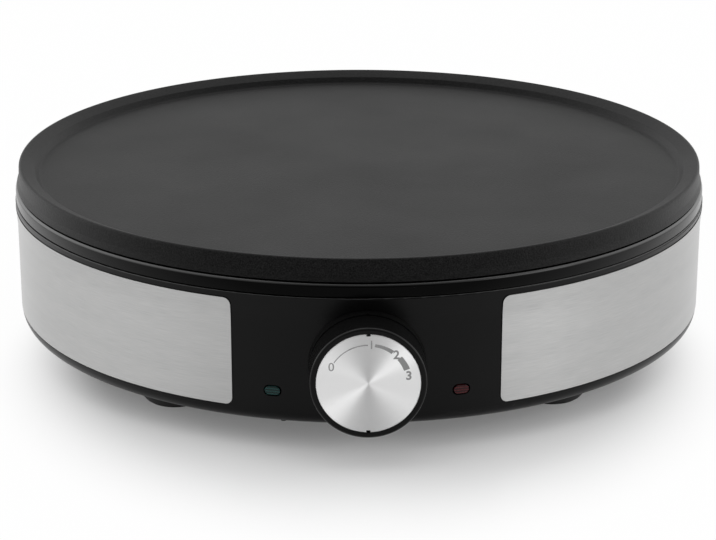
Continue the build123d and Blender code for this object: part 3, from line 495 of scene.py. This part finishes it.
def tinted_lens(name, colour, rib_highlight_colour):
    """Clear polycarbonate lens with its lamp off: a dark tint, a clean gloss, and ribs inside whose light
    lines are painted highlight, stripes of a lighter tint where light would catch them.
    """
    rib_spacing = 1.1  # millimetres
    material, tree, shader = surface(
        name, Roughness=0.2, IOR=1.58, Transmission_Weight=0.15, Specular_IOR_Level=0.08
    )
    place = in_millimetres(tree)
    split_place = add(tree, "ShaderNodeSeparateXYZ", {"Vector": place})
    # Painted highlight: the tint turns to the lighter colour in bands up the lens's height, standing in
    # for light caught by its ribs.
    ribs = add(
        tree,
        "ShaderNodeMath",
        {0: split_place.outputs["Z"], 1: 2 * math.pi / rib_spacing},
        operation="MULTIPLY",
    )
    wave = add(tree, "ShaderNodeMath", {0: ribs.outputs[0]}, operation="SINE")
    tone = add(tree, "ShaderNodeMix", data_type="RGBA")
    spread = add(
        tree,
        "ShaderNodeMapRange",
        {"Value": wave.outputs[0], "From Min": -1.0, "From Max": 1.0, "To Min": 0.0, "To Max": 1.0},
    )
    tree.links.new(spread.outputs["Result"], tone.inputs["Factor"])
    tone.inputs["A"].default_value = linear(colour)
    tone.inputs["B"].default_value = linear(rib_highlight_colour)
    tree.links.new(tone.outputs["Result"], shader.inputs["Base Color"])
    return material


coating = nonstick_coating()
satin_black = moulded_plastic("satin_black_abs", "#040404", 0.30, (0.13, 0.22), 0.5, 0.01, crown=0.5)
gloss_black = moulded_plastic("gloss_black_abs", "#030303", 0.20, (0.04, 0.3), 0.9, 0.006, crown=0.9)
knob_black = moulded_plastic("gloss_black_phenolic", "#080808", 0.26, (0.10, 0.30), 0.9, 0.006, crown=0.1)
matt_black = moulded_plastic("matt_black_polypropylene", "#101010", 0.55, (0.15, 0.35), 0.6, 0.03)
# Rubber comes from the same kind of mould, duller and with a coarser grain.
rubber = moulded_plastic("black_rubber", "#121212", 0.75, (0.12, 0.25), 0.7, 0.04)
steel = brushed_stainless()
spun = spun_aluminium()
aluminised = plain_metal("aluminised_sheet", "#a4a6a8", "#bdbfc1", 0.38, 2.5)
sheath = plain_metal("annealed_steel_sheath", "#3a3633", "#5a534c", 0.5, 5.0)
zinc = plain_metal("zinc_plated_steel", "#a9adb2", "#c2c6ca", 0.3, 1.2)
brass = plain_metal("turned_brass", "#a5853f", "#c9a95c", 0.3, 1.5)
ceramic = plain_metal("unglazed_steatite", "#d8d2c4", "#e6e0d3", 0.65, 1.0, metallic=0.0)
sleeve = plain_metal("silicone_sleeve", "#cfccc2", "#dedbd2", 0.5, 2.0, metallic=0.0)
# Each lens's second colour is the painted highlight of its ribs.
green = tinted_lens("green_polycarbonate", "#061716", "#1a403e")
red = tinted_lens("red_polycarbonate", "#1e0607", "#4a171b")
# Clear glass blown and sealed over a flame: it lets the light through, with a faint warm haze.
BULB_HAZE_SIZE = 1.5  # millimetres
bulb, bulb_tree, bulb_shader = surface(
    "clear_neon_glass", Roughness=0.05, IOR=1.5, Transmission_Weight=0.9
)
bulb_place = in_millimetres(bulb_tree)
bulb_haze = add(bulb_tree, "ShaderNodeTexNoise", {"Vector": bulb_place, "Scale": 1 / BULB_HAZE_SIZE})
bulb_tone = add(bulb_tree, "ShaderNodeValToRGB", {"Fac": bulb_haze.outputs["Fac"]})
bulb_tone.color_ramp.elements[0].color = linear("#e8e0d8")
bulb_tone.color_ramp.elements[1].color = linear("#f4f0ea")
bulb_tree.links.new(bulb_tone.outputs["Color"], bulb_shader.inputs["Base Color"])

FINISHES = {
    "baking_plate": coating,
    "upper_ring": gloss_black,
    "housing": satin_black,
    "steel_panel_right": steel,
    "steel_panel_left": steel,
    "base_cover": matt_black,
    "foot_front_left": rubber,
    "foot_front_right": rubber,
    "foot_rear_left": rubber,
    "foot_rear_right": rubber,
    "cord_gland": rubber,
    "knob": knob_black,
    "knob_disc": spun,
    "indicator_lens_green": green,
    "indicator_lens_red": red,
    "indicator_lamp_green": bulb,
    "indicator_lamp_red": bulb,
    "heating_element": sheath,
    "heat_shield": aluminised,
    "thermostat_bracket": aluminised,
    "fuse_clip": aluminised,
    "element_pins": zinc,
    "ring_screws": zinc,
    "base_screws": zinc,
    "plate_screws": zinc,
    "machine_screws": zinc,
    "terminal_screws": zinc,
    "thermostat_spindle": zinc,
    "knob_clip": zinc,
    "thermal_fuse": zinc,
    "thermostat_tabs": brass,
    "thermostat_bush": brass,
    "thermostat_nut": brass,
    "earth_tag": brass,
    "shield_washers": ceramic,
    "thermostat_body": ceramic,
    "terminal_block": ceramic,
    "lead_live": sleeve,
    "lead_neutral": sleeve,
    "lead_fuse_in": sleeve,
    "lead_fuse_out": sleeve,
    "lead_earth": sleeve,
}
for name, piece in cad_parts.items():
    piece.data.materials.clear()
    piece.data.materials.append(FINISHES[name])


# ---- Geometry Nodes: turned bodies, the dial's growing band and a circle of screws ----
def new_tree(name, sizes):
    """A Geometry Nodes tree with a number input for each named size, and its geometry output."""
    tree = bpy.data.node_groups.new(name, "GeometryNodeTree")
    for size, default in sizes.items():
        kind = "NodeSocketInt" if isinstance(default, int) else "NodeSocketFloat"
        tree.interface.new_socket(size, in_out="INPUT", socket_type=kind).default_value = default
    tree.interface.new_socket("Material", in_out="INPUT", socket_type="NodeSocketMaterial")
    tree.interface.new_socket("Geometry", in_out="OUTPUT", socket_type="NodeSocketGeometry")
    return tree, add(tree, "NodeGroupInput").outputs, add(tree, "NodeGroupOutput").inputs["Geometry"]


def grown(tree, sizes, material):
    """The plain mesh that a tree makes with these sizes."""
    holder = bpy.data.objects.new("holder", bpy.data.meshes.new("holder"))
    scene.collection.objects.link(holder)
    modifier = holder.modifiers.new("grow", "NODES")
    modifier.node_group = tree
    identifiers = {
        item.name: item.identifier for item in tree.interface.items_tree if item.in_out == "INPUT"
    }
    for size, value in sizes.items():
        modifier[identifiers[size]] = value
    modifier[identifiers["Material"]] = material
    graph = bpy.context.evaluated_depsgraph_get()
    mesh = bpy.data.meshes.new_from_object(holder.evaluated_get(graph))
    bpy.data.objects.remove(holder)
    return mesh


def turned_tree(name, corners):
    """A body of revolution about Z from named corners, each with its radius, height and rounding."""
    sizes = {"Turn Steps": TURN_STEPS, "Rounding Steps": ROUNDING_STEPS}
    for corner in corners:
        sizes.update({corner + " radius": 0.0, corner + " height": 0.0, corner + " rounding": 0.0})
    tree, size, result = new_tree(name, sizes)
    line = add(tree, "GeometryNodeMeshLine", {"Count": len(corners)})
    number = add(tree, "GeometryNodeInputIndex")
    chosen = {}
    for part in ("radius", "height", "rounding"):
        choice = add(
            tree, "GeometryNodeIndexSwitch", {"Index": number.outputs["Index"]}, data_type="FLOAT"
        )
        while len(choice.index_switch_items) < len(corners):
            choice.index_switch_items.new()
        for place, corner in enumerate(corners):
            tree.links.new(size[corner + " " + part], choice.inputs[str(place)])
        chosen[part] = choice.outputs["Output"]
    # The path is a circle of 1 mm, so the outline is set in by as much before it is swept. It points
    # down, because the path's own upward direction is turned over.
    inset = add(tree, "ShaderNodeMath", {0: chosen["radius"], 1: MM}, operation="SUBTRACT")
    spot = add(tree, "ShaderNodeCombineXYZ", {"X": inset.outputs[0], "Y": chosen["height"]})
    placed = add(
        tree,
        "GeometryNodeSetPosition",
        {"Geometry": line.outputs["Mesh"], "Position": spot.outputs["Vector"]},
    )
    outline = add(tree, "GeometryNodeMeshToCurve", {"Mesh": placed.outputs["Geometry"]})
    rounded = add(
        tree,
        "GeometryNodeFilletCurve",
        {
            "Curve": outline.outputs["Curve"],
            "Count": size["Rounding Steps"],
            "Radius": chosen["rounding"],
        },
        mode="POLY",
    )
    path = add(tree, "GeometryNodeCurvePrimitiveCircle", {"Resolution": size["Turn Steps"], "Radius": MM})
    swept = add(
        tree,
        "GeometryNodeCurveToMesh",
        {"Curve": path.outputs["Curve"], "Profile Curve": rounded.outputs["Curve"]},
    )
    upright = add(tree, "GeometryNodeTransform", {"Geometry": swept.outputs["Mesh"], "Scale": (1, 1, -1)})
    closed = add(
        tree,
        "GeometryNodeMergeByDistance",
        {"Geometry": upright.outputs["Geometry"], "Distance": SAME_POINT},
    )
    smooth = add(
        tree, "GeometryNodeSetShadeSmooth", {"Geometry": closed.outputs["Geometry"], "Shade Smooth": True}
    )
    real = add(tree, "GeometryNodeRealizeInstances", {"Geometry": smooth.outputs["Geometry"]})
    finished = add(
        tree,
        "GeometryNodeSetMaterial",
        {"Geometry": real.outputs["Geometry"], "Material": size["Material"]},
    )
    tree.links.new(finished.outputs["Geometry"], result)
    return tree


def turned(name, outline, material):
    """The mesh of a turned body whose outline is corner: (radius, height, rounding) in millimetres."""
    tree = turned_tree(name, list(outline))
    sizes = {"Turn Steps": TURN_STEPS, "Rounding Steps": ROUNDING_STEPS}
    for corner, values in outline.items():
        for part, value in zip(("radius", "height", "rounding"), values):
            sizes[corner + " " + part] = value * MM
    return grown(tree, sizes, material)


def outwards(mesh):
    """The same mesh with its doubles merged and its faces turned outwards."""
    turning = bmesh.new()
    turning.from_mesh(mesh)
    bmesh.ops.remove_doubles(turning, verts=turning.verts, dist=SAME_POINT)
    bmesh.ops.recalc_face_normals(turning, faces=turning.faces)
    turning.to_mesh(mesh)
    turning.free()
    return mesh


def place_piece(name, meshes, body, material):
    """One object at the origin from meshes that are already in their places."""
    joined = bmesh.new()
    for mesh in meshes:
        joined.from_mesh(mesh)
    whole = bpy.data.meshes.new(name)
    joined.to_mesh(whole)
    joined.free()
    whole.materials.clear()
    whole.materials.append(material)
    whole.shade_smooth()
    whole.set_sharp_from_angle(angle=SHARP_ANGLE)
    piece = bpy.data.objects.new(name, whole)
    scene.collection.objects.link(piece)
    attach(piece, body)
    return piece


def scale_band_tree():
    """A flat band along an arc whose width grows from its start to its end."""
    tree, size, result = new_tree(
        "scale_band",
        {
            "Radius": DIAL_RADIUS * MM,
            "Start Angle": 0.0,
            "End Angle": 1.0,
            "Start Width": 0.3 * MM,
            "End Width": 0.6 * MM,
            "Thickness": PRINT_THICKNESS * MM,
            "Steps": BAND_STEPS,
        },
    )
    sheet = add(
        tree,
        "GeometryNodeMeshGrid",
        {"Size X": 1.0, "Size Y": 1.0, "Vertices X": size["Steps"], "Vertices Y": 2},
    )
    spot = add(tree, "GeometryNodeInputPosition")
    parts = add(tree, "ShaderNodeSeparateXYZ", {"Vector": spot.outputs["Position"]})
    along = add(tree, "ShaderNodeMath", {0: parts.outputs["X"], 1: 0.5}, operation="ADD")
    angle = add(
        tree,
        "ShaderNodeMapRange",
        {"Value": along.outputs[0], "To Min": size["Start Angle"], "To Max": size["End Angle"]},
    )
    width = add(
        tree,
        "ShaderNodeMapRange",
        {"Value": along.outputs[0], "To Min": size["Start Width"], "To Max": size["End Width"]},
    )
    offset = add(
        tree, "ShaderNodeMath", {0: parts.outputs["Y"], 1: width.outputs["Result"]}, operation="MULTIPLY"
    )
    radius = add(tree, "ShaderNodeMath", {0: offset.outputs[0], 1: size["Radius"]}, operation="ADD")
    cosine = add(tree, "ShaderNodeMath", {0: angle.outputs["Result"]}, operation="COSINE")
    sine = add(tree, "ShaderNodeMath", {0: angle.outputs["Result"]}, operation="SINE")
    x = add(tree, "ShaderNodeMath", {0: cosine.outputs[0], 1: radius.outputs[0]}, operation="MULTIPLY")
    y = add(tree, "ShaderNodeMath", {0: sine.outputs[0], 1: radius.outputs[0]}, operation="MULTIPLY")
    bent_place = add(tree, "ShaderNodeCombineXYZ", {"X": x.outputs[0], "Y": y.outputs[0]})
    bent = add(
        tree,
        "GeometryNodeSetPosition",
        {"Geometry": sheet.outputs["Mesh"], "Position": bent_place.outputs["Vector"]},
    )
    rise = add(tree, "ShaderNodeCombineXYZ", {"Z": size["Thickness"]})
    top = add(
        tree,
        "GeometryNodeExtrudeMesh",
        {"Mesh": bent.outputs["Geometry"], "Offset": rise.outputs["Vector"], "Individual": False},
    )
    bottom = add(tree, "GeometryNodeFlipFaces", {"Mesh": bent.outputs["Geometry"]})
    joined = add(tree, "GeometryNodeJoinGeometry")
    tree.links.new(top.outputs["Mesh"], joined.inputs["Geometry"])
    tree.links.new(bottom.outputs["Mesh"], joined.inputs["Geometry"])
    closed = add(
        tree,
        "GeometryNodeMergeByDistance",
        {"Geometry": joined.outputs["Geometry"], "Distance": SAME_POINT},
    )
    real = add(tree, "GeometryNodeRealizeInstances", {"Geometry": closed.outputs["Geometry"]})
    inked = add(
        tree,
        "GeometryNodeSetMaterial",
        {"Geometry": real.outputs["Geometry"], "Material": size["Material"]},
    )
    tree.links.new(inked.outputs["Geometry"], result)
    return tree


# Shares of a screw's head: its flat face's radius, the cross's length and width, and its depth.
FACE_SHARE = 0.8
CROSS_LENGTH_SHARE = 1.1
CROSS_WIDTH_SHARE = 0.28
CROSS_DEPTH_SHARE = 0.5
CROSS_TURN = 0.4  # radians


def screw_circle_tree():
    """Pan-head screws with a cross recess, evenly round a circle, heads down."""
    tree, size, result = new_tree(
        "screw_circle",
        {
            "Count": 6,
            "Circle Radius": 130 * MM,
            "First Angle": 0.0,
            "Seat Height": 0.0,
            "Head Radius": 3 * MM,
            "Head Height": 1.5 * MM,
            "Shank Radius": 1.5 * MM,
            "Shank Length": 7 * MM,
            "Recess Width": 0.8 * MM,
            "Recess Depth": 0.8 * MM,
        },
    )
    face_radius = add(
        tree, "ShaderNodeMath", {0: size["Head Radius"], 1: FACE_SHARE}, operation="MULTIPLY"
    )
    head = add(
        tree,
        "GeometryNodeMeshCone",
        {
            "Vertices": HEAD_SIDES,
            "Radius Top": size["Head Radius"],
            "Radius Bottom": face_radius.outputs[0],
            "Depth": size["Head Height"],
        },
    )
    head_down = add(tree, "ShaderNodeMath", {0: size["Head Height"], 1: -1.0}, operation="MULTIPLY")
    head_place = add(tree, "ShaderNodeCombineXYZ", {"Z": head_down.outputs[0]})
    seated = add(
        tree,
        "GeometryNodeTransform",
        {"Geometry": head.outputs["Mesh"], "Translation": head_place.outputs["Vector"]},
    )
    slot_length = add(
        tree, "ShaderNodeMath", {0: size["Head Radius"], 1: CROSS_LENGTH_SHARE}, operation="MULTIPLY"
    )
    # Each bar stands half out of the head, so it is twice as high as its recess is deep.
    slot_height = add(tree, "ShaderNodeMath", {0: size["Recess Depth"], 1: 2.0}, operation="MULTIPLY")
    one_way = add(
        tree,
        "ShaderNodeCombineXYZ",
        {"X": slot_length.outputs[0], "Y": size["Recess Width"], "Z": slot_height.outputs[0]},
    )
    other_way = add(
        tree,
        "ShaderNodeCombineXYZ",
        {"X": size["Recess Width"], "Y": slot_length.outputs[0], "Z": slot_height.outputs[0]},
    )
    bar = add(tree, "GeometryNodeMeshCube", {"Size": one_way.outputs["Vector"]})
    cross_bar = add(tree, "GeometryNodeMeshCube", {"Size": other_way.outputs["Vector"]})
    recess = add(tree, "GeometryNodeMeshBoolean", operation="UNION", solver="EXACT")
    tree.links.new(bar.outputs["Mesh"], recess.inputs["Mesh 2"])
    tree.links.new(cross_bar.outputs["Mesh"], recess.inputs["Mesh 2"])
    sunk = add(
        tree,
        "GeometryNodeTransform",
        {"Geometry": recess.outputs["Mesh"], "Translation": head_place.outputs["Vector"]},
    )
    driven = add(
        tree,
        "GeometryNodeMeshBoolean",
        {"Mesh 1": seated.outputs["Geometry"]},
        operation="DIFFERENCE",
        solver="EXACT",
    )
    tree.links.new(sunk.outputs["Geometry"], driven.inputs["Mesh 2"])
    shank = add(
        tree,
        "GeometryNodeMeshCone",
        {
            "Vertices": SHANK_SIDES,
            "Radius Top": size["Shank Radius"],
            "Radius Bottom": size["Shank Radius"],
            "Depth": size["Shank Length"],
        },
    )
    screw = add(tree, "GeometryNodeJoinGeometry")
    tree.links.new(driven.outputs["Mesh"], screw.inputs["Geometry"])
    tree.links.new(shank.outputs["Mesh"], screw.inputs["Geometry"])
    circle = add(
        tree, "GeometryNodeMeshCircle", {"Vertices": size["Count"], "Radius": size["Circle Radius"]}
    )
    first_turn = add(tree, "ShaderNodeCombineXYZ", {"Z": size["First Angle"]})
    raised = add(tree, "ShaderNodeCombineXYZ", {"Z": size["Seat Height"]})
    seats = add(
        tree,
        "GeometryNodeTransform",
        {
            "Geometry": circle.outputs["Mesh"],
            "Translation": raised.outputs["Vector"],
            "Rotation": first_turn.outputs["Vector"],
        },
    )
    spin = add(tree, "ShaderNodeCombineXYZ", {"Z": CROSS_TURN})
    many = add(
        tree,
        "GeometryNodeInstanceOnPoints",
        {
            "Points": seats.outputs["Geometry"],
            "Instance": screw.outputs["Geometry"],
            "Rotation": spin.outputs["Vector"],
        },
    )
    real = add(tree, "GeometryNodeRealizeInstances", {"Geometry": many.outputs["Instances"]})
    plated = add(
        tree,
        "GeometryNodeSetMaterial",
        {"Geometry": real.outputs["Geometry"], "Material": size["Material"]},
    )
    tree.links.new(plated.outputs["Geometry"], result)
    return tree


# ---- Dial: printed figures and a band that thickens towards the hottest setting ----
# The print is a flat grey ink from a silicone pad: dull, with a fine speckle.
INK_GRAIN_SIZE = 0.25  # millimetres
ink, ink_tree, ink_shader = surface("grey_pad_print", Roughness=0.45, Specular_IOR_Level=0.3)
ink_place = in_millimetres(ink_tree)
ink_grain = add(
    ink_tree, "ShaderNodeTexNoise", {"Vector": ink_place, "Scale": 1 / INK_GRAIN_SIZE, "Detail": 2.0}
)
ink_tone = add(ink_tree, "ShaderNodeValToRGB", {"Fac": ink_grain.outputs["Fac"]})
ink_tone.color_ramp.elements[0].position, ink_tone.color_ramp.elements[0].color = 0.3, linear("#7c7c7c")
ink_tone.color_ramp.elements[1].position, ink_tone.color_ramp.elements[1].color = 0.7, linear("#909090")
ink_tree.links.new(ink_tone.outputs["Color"], ink_shader.inputs["Base Color"])

# From the dial's own plane, x to the right and y up, to the disc's face.
TO_DISC = (
    Matrix.Translation((0, DISC_FACE * MM, DISC_AXIS_HEIGHT * MM)) @ Matrix.Rotation(math.pi / 2, 4, "X")
)

# Each stretch of the band: start and end in degrees, then its width at either end in millimetres.
BAND_STRETCHES = ((147, 91, 0.3, 0.45), (81, 54, 1.1, 1.6), (41, 21, 2.2, 2.4))
band_tree = scale_band_tree()
bands = []
for start, end, start_width, end_width in BAND_STRETCHES:
    band = grown(
        band_tree,
        {
            "Radius": DIAL_RADIUS * MM,
            "Start Angle": math.radians(start),
            "End Angle": math.radians(end),
            "Start Width": start_width * MM,
            "End Width": end_width * MM,
            "Thickness": PRINT_THICKNESS * MM,
            "Steps": BAND_STEPS,
        },
        ink,
    )
    # An arc drawn clockwise has its faces turned over.
    outwards(band)
    band.transform(TO_DISC)
    bands.append(band)
place_piece("dial_band", bands, "knob_group", ink)

# Each figure: its place in degrees, and how much its strokes are thickened in millimetres.
CAPITAL_SHARE = 0.7  # of the letter size that a figure is tall
FIGURES = {"0": (154.6, 0.0), "1": (85.8, 0.0), "2": (47.4, 0.13), "3": (11.2, 0.13)}
for figure, (angle, weight) in FIGURES.items():
    letter = bpy.data.curves.new("figure", "FONT")
    letter.body = figure
    letter.size = FIGURE_HEIGHT * MM / CAPITAL_SHARE
    letter.offset = weight * MM
    letter.extrude = PRINT_THICKNESS / 2 * MM
    letter.align_x, letter.align_y = "CENTER", "CENTER"
    shape = bpy.data.objects.new("figure", letter)
    scene.collection.objects.link(shape)
    graph = bpy.context.evaluated_depsgraph_get()
    printed = bpy.data.meshes.new_from_object(shape.evaluated_get(graph))
    bpy.data.objects.remove(shape)
    printed.transform(Matrix.Translation((
        DIAL_RADIUS * MM * math.cos(math.radians(angle)),
        DIAL_RADIUS * MM * math.sin(math.radians(angle)),
        PRINT_THICKNESS / 2 * MM,
    )))
    printed.transform(TO_DISC)
    place_piece("dial_figure_" + figure, [printed], "knob_group", ink)

# ---- Ring: turned finely, so that its lip and its groove run clean round the drum ----
# Each corner of an outline, in the order that it is drawn: its radius, its height and its rounding.
ring_mesh = turned(
    "turned_ring",
    {
        "inner foot": (141.5, -10.3, 0),
        "waist foot": (150.85, -10.3, 0),
        "waist": (150.85, -9.9, 0.2),
        "foot": (151.75, -9.9, 0.3),
        "lip": (151.75, -4.5, 1.6),
        "shelf edge": (146.75, -4.5, 0.4),
        "shelf": (146.75, -5.7, 0.4),
        "inner edge": (141.5, -5.7, 0.4),
        "inner foot again": (141.5, -10.3, 0),
    },
    gloss_black,
)
ring = place_piece("turned_ring", [outwards(ring_mesh)], "base", gloss_black)
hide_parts("upper_ring")

# ---- Plate: its skirt, rim and dish are turned finely over the cast underside ----
plate_mesh = turned(
    "turned_plate",
    {
        "underside": (UNDERSIDE_RADIUS, UNDERSIDE_HEIGHT, 0),
        "skirt inside": (UNDERSIDE_RADIUS, -4.1, 0),
        "skirt foot": (151.4, -4.1, 0.5),
        "skirt flare": (150.3, -1.2, 2.0),
        "rim edge": (150.0, 5.698, 1.2),
        "rim inside": (143.2, 2.7, 1.2),
        "dish edge": (141.0, 0.0, 1.8),
        "dish": (139.0, 0.0, 0),
        "middle": (0.0, 0.0, 0),
    },
    coating,
)
casting = bmesh.new()
casting.from_mesh(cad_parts["baking_plate"].data)
bmesh.ops.remove_doubles(casting, verts=casting.verts, dist=SAME_POINT)
NEAR = 0.01 * MM
# The casting's faces that the turned ones take the place of: the top, the skirt and the flat underside.
turned_faces = [
    face
    for face in casting.faces
    if min(vert.co.z for vert in face.verts) > -NEAR
    or min(vert.co.xy.length for vert in face.verts) > UNDERSIDE_RADIUS * MM - NEAR
    or max(abs(vert.co.z - UNDERSIDE_HEIGHT * MM) for vert in face.verts) < NEAR
]
bmesh.ops.delete(casting, geom=turned_faces, context="FACES")
casting.from_mesh(plate_mesh)
# The flat underside is filled again, from the turned circle to the element's ridge and the bosses.
open_edges = [edge for edge in casting.edges if edge.is_boundary]
bmesh.ops.triangle_fill(
    casting, edges=open_edges, use_beauty=True, use_dissolve=False, normal=(0, 0, -1)
)
bmesh.ops.recalc_face_normals(casting, faces=casting.faces)
whole_plate = bpy.data.meshes.new("cast_plate")
casting.to_mesh(whole_plate)
casting.free()
plate = place_piece("cast_plate", [whole_plate], "base", coating)
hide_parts("baking_plate")

# ---- Housing: its ribs' lower corners are pulled in until the wall's rounded foot covers them, and its
# windows' outer edges open to a sloped seat round each lens, which stays in shade as a dark rim ----
FOOT_CENTRE = Vector((WALL_RADIUS - FOOT_ROUNDING, WALL_FOOT + FOOT_ROUNDING))
RIB_LEAST, RIB_MOST = 0.02, 0.8  # how far a rib's corner may stand out of the foot
EDGE_SLACK = 0.1
LINE_END = WINDOW_HALF_WIDTH - WINDOW_HALF_HEIGHT


def flush_with_foot(spot):
    """A point of the moulding, drawn in to the wall's foot if it is a rib's corner that stands out."""
    reach = Vector((spot.xy.length, spot.z)) / MM - FOOT_CENTRE
    if not (reach.x > 0 > reach.y and RIB_LEAST < reach.length - FOOT_ROUNDING < RIB_MOST):
        return spot
    flush = (FOOT_CENTRE + reach.normalized() * FOOT_ROUNDING) * MM
    level_spot = spot.xy.normalized() * flush.x
    return Vector((level_spot.x, level_spot.y, flush.y))


def opened_round_lens(spot):
    """A point of the moulding, moved away from the lens if it is on a window's outer edge. The move is
    along the wall as if it were unrolled, from the window's own long middle line."""
    turn = math.atan2(spot.x, -spot.y)
    from_middle = Vector((abs(turn) * WALL_RADIUS - LENS_ARC, spot.z / MM - LENS_HEIGHT))
    on_wall = spot.xy.length / MM > WALL_RADIUS - EDGE_SLACK
    in_width = abs(from_middle.x) < WINDOW_HALF_WIDTH + EDGE_SLACK
    in_height = abs(from_middle.y) < WINDOW_HALF_HEIGHT + EDGE_SLACK
    if not (on_wall and in_width and in_height):
        return spot
    nearest = Vector((max(-LINE_END, min(LINE_END, from_middle.x)), 0.0))
    opened = from_middle + (from_middle - nearest).normalized() * WINDOW_OPENING
    opened_turn = math.copysign(1.0, turn) * (LENS_ARC + opened.x) / WALL_RADIUS
    radius = spot.xy.length
    return Vector((
        radius * math.sin(opened_turn),
        -radius * math.cos(opened_turn),
        (LENS_HEIGHT + opened.y) * MM,
    ))


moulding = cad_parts["housing"].data
moulding_normals = [tuple(corner.vector) for corner in moulding.corner_normals]
merged = bmesh.new()
merged.from_mesh(moulding)
bmesh.ops.remove_doubles(merged, verts=merged.verts, dist=SAME_CAD_POINT)
housing_mesh = bpy.data.meshes.new("drum_housing")
merged.to_mesh(housing_mesh)
merged.free()
housing_mesh.materials.append(satin_black)
housing_mesh.normals_split_custom_set(moulding_normals)
for vertex in housing_mesh.vertices:
    vertex.co = opened_round_lens(flush_with_foot(vertex.co.copy()))
housing = bpy.data.objects.new("drum_housing", housing_mesh)
scene.collection.objects.link(housing)
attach(housing, "base")
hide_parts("housing")

# ---- Screws under the base, each with its cross recess ----
# Each set: count, circle, first angle in degrees, seat height, then each screw's head radius and height
# and its shank radius and length, in millimetres.
SCREW_SETS = (
    ("base_screw_set", "base_screws", 6, 132.5, 30.0, -60.5, 2.9, 1.5, 1.5, 7.0),
    ("plate_screw_set", "plate_screws", 3, 116.0, 90.0, -44.3, 3.5, 2.0, 2.0, 36.0),
)
screws_tree = screw_circle_tree()
for name, node, count, circle, first_angle, seat, head, head_height, shank, shank_length in SCREW_SETS:
    screw_mesh = grown(
        screws_tree,
        {
            "Count": count,
            "Circle Radius": circle * MM,
            "First Angle": math.radians(first_angle),
            "Seat Height": seat * MM,
            "Head Radius": head * MM,
            "Head Height": head_height * MM,
            "Shank Radius": shank * MM,
            "Shank Length": shank_length * MM,
            "Recess Width": CROSS_WIDTH_SHARE * head * MM,
            "Recess Depth": CROSS_DEPTH_SHARE * head_height * MM,
        },
        zinc,
    )
    screws = place_piece(name, [screw_mesh], "base", zinc)
    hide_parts(node)
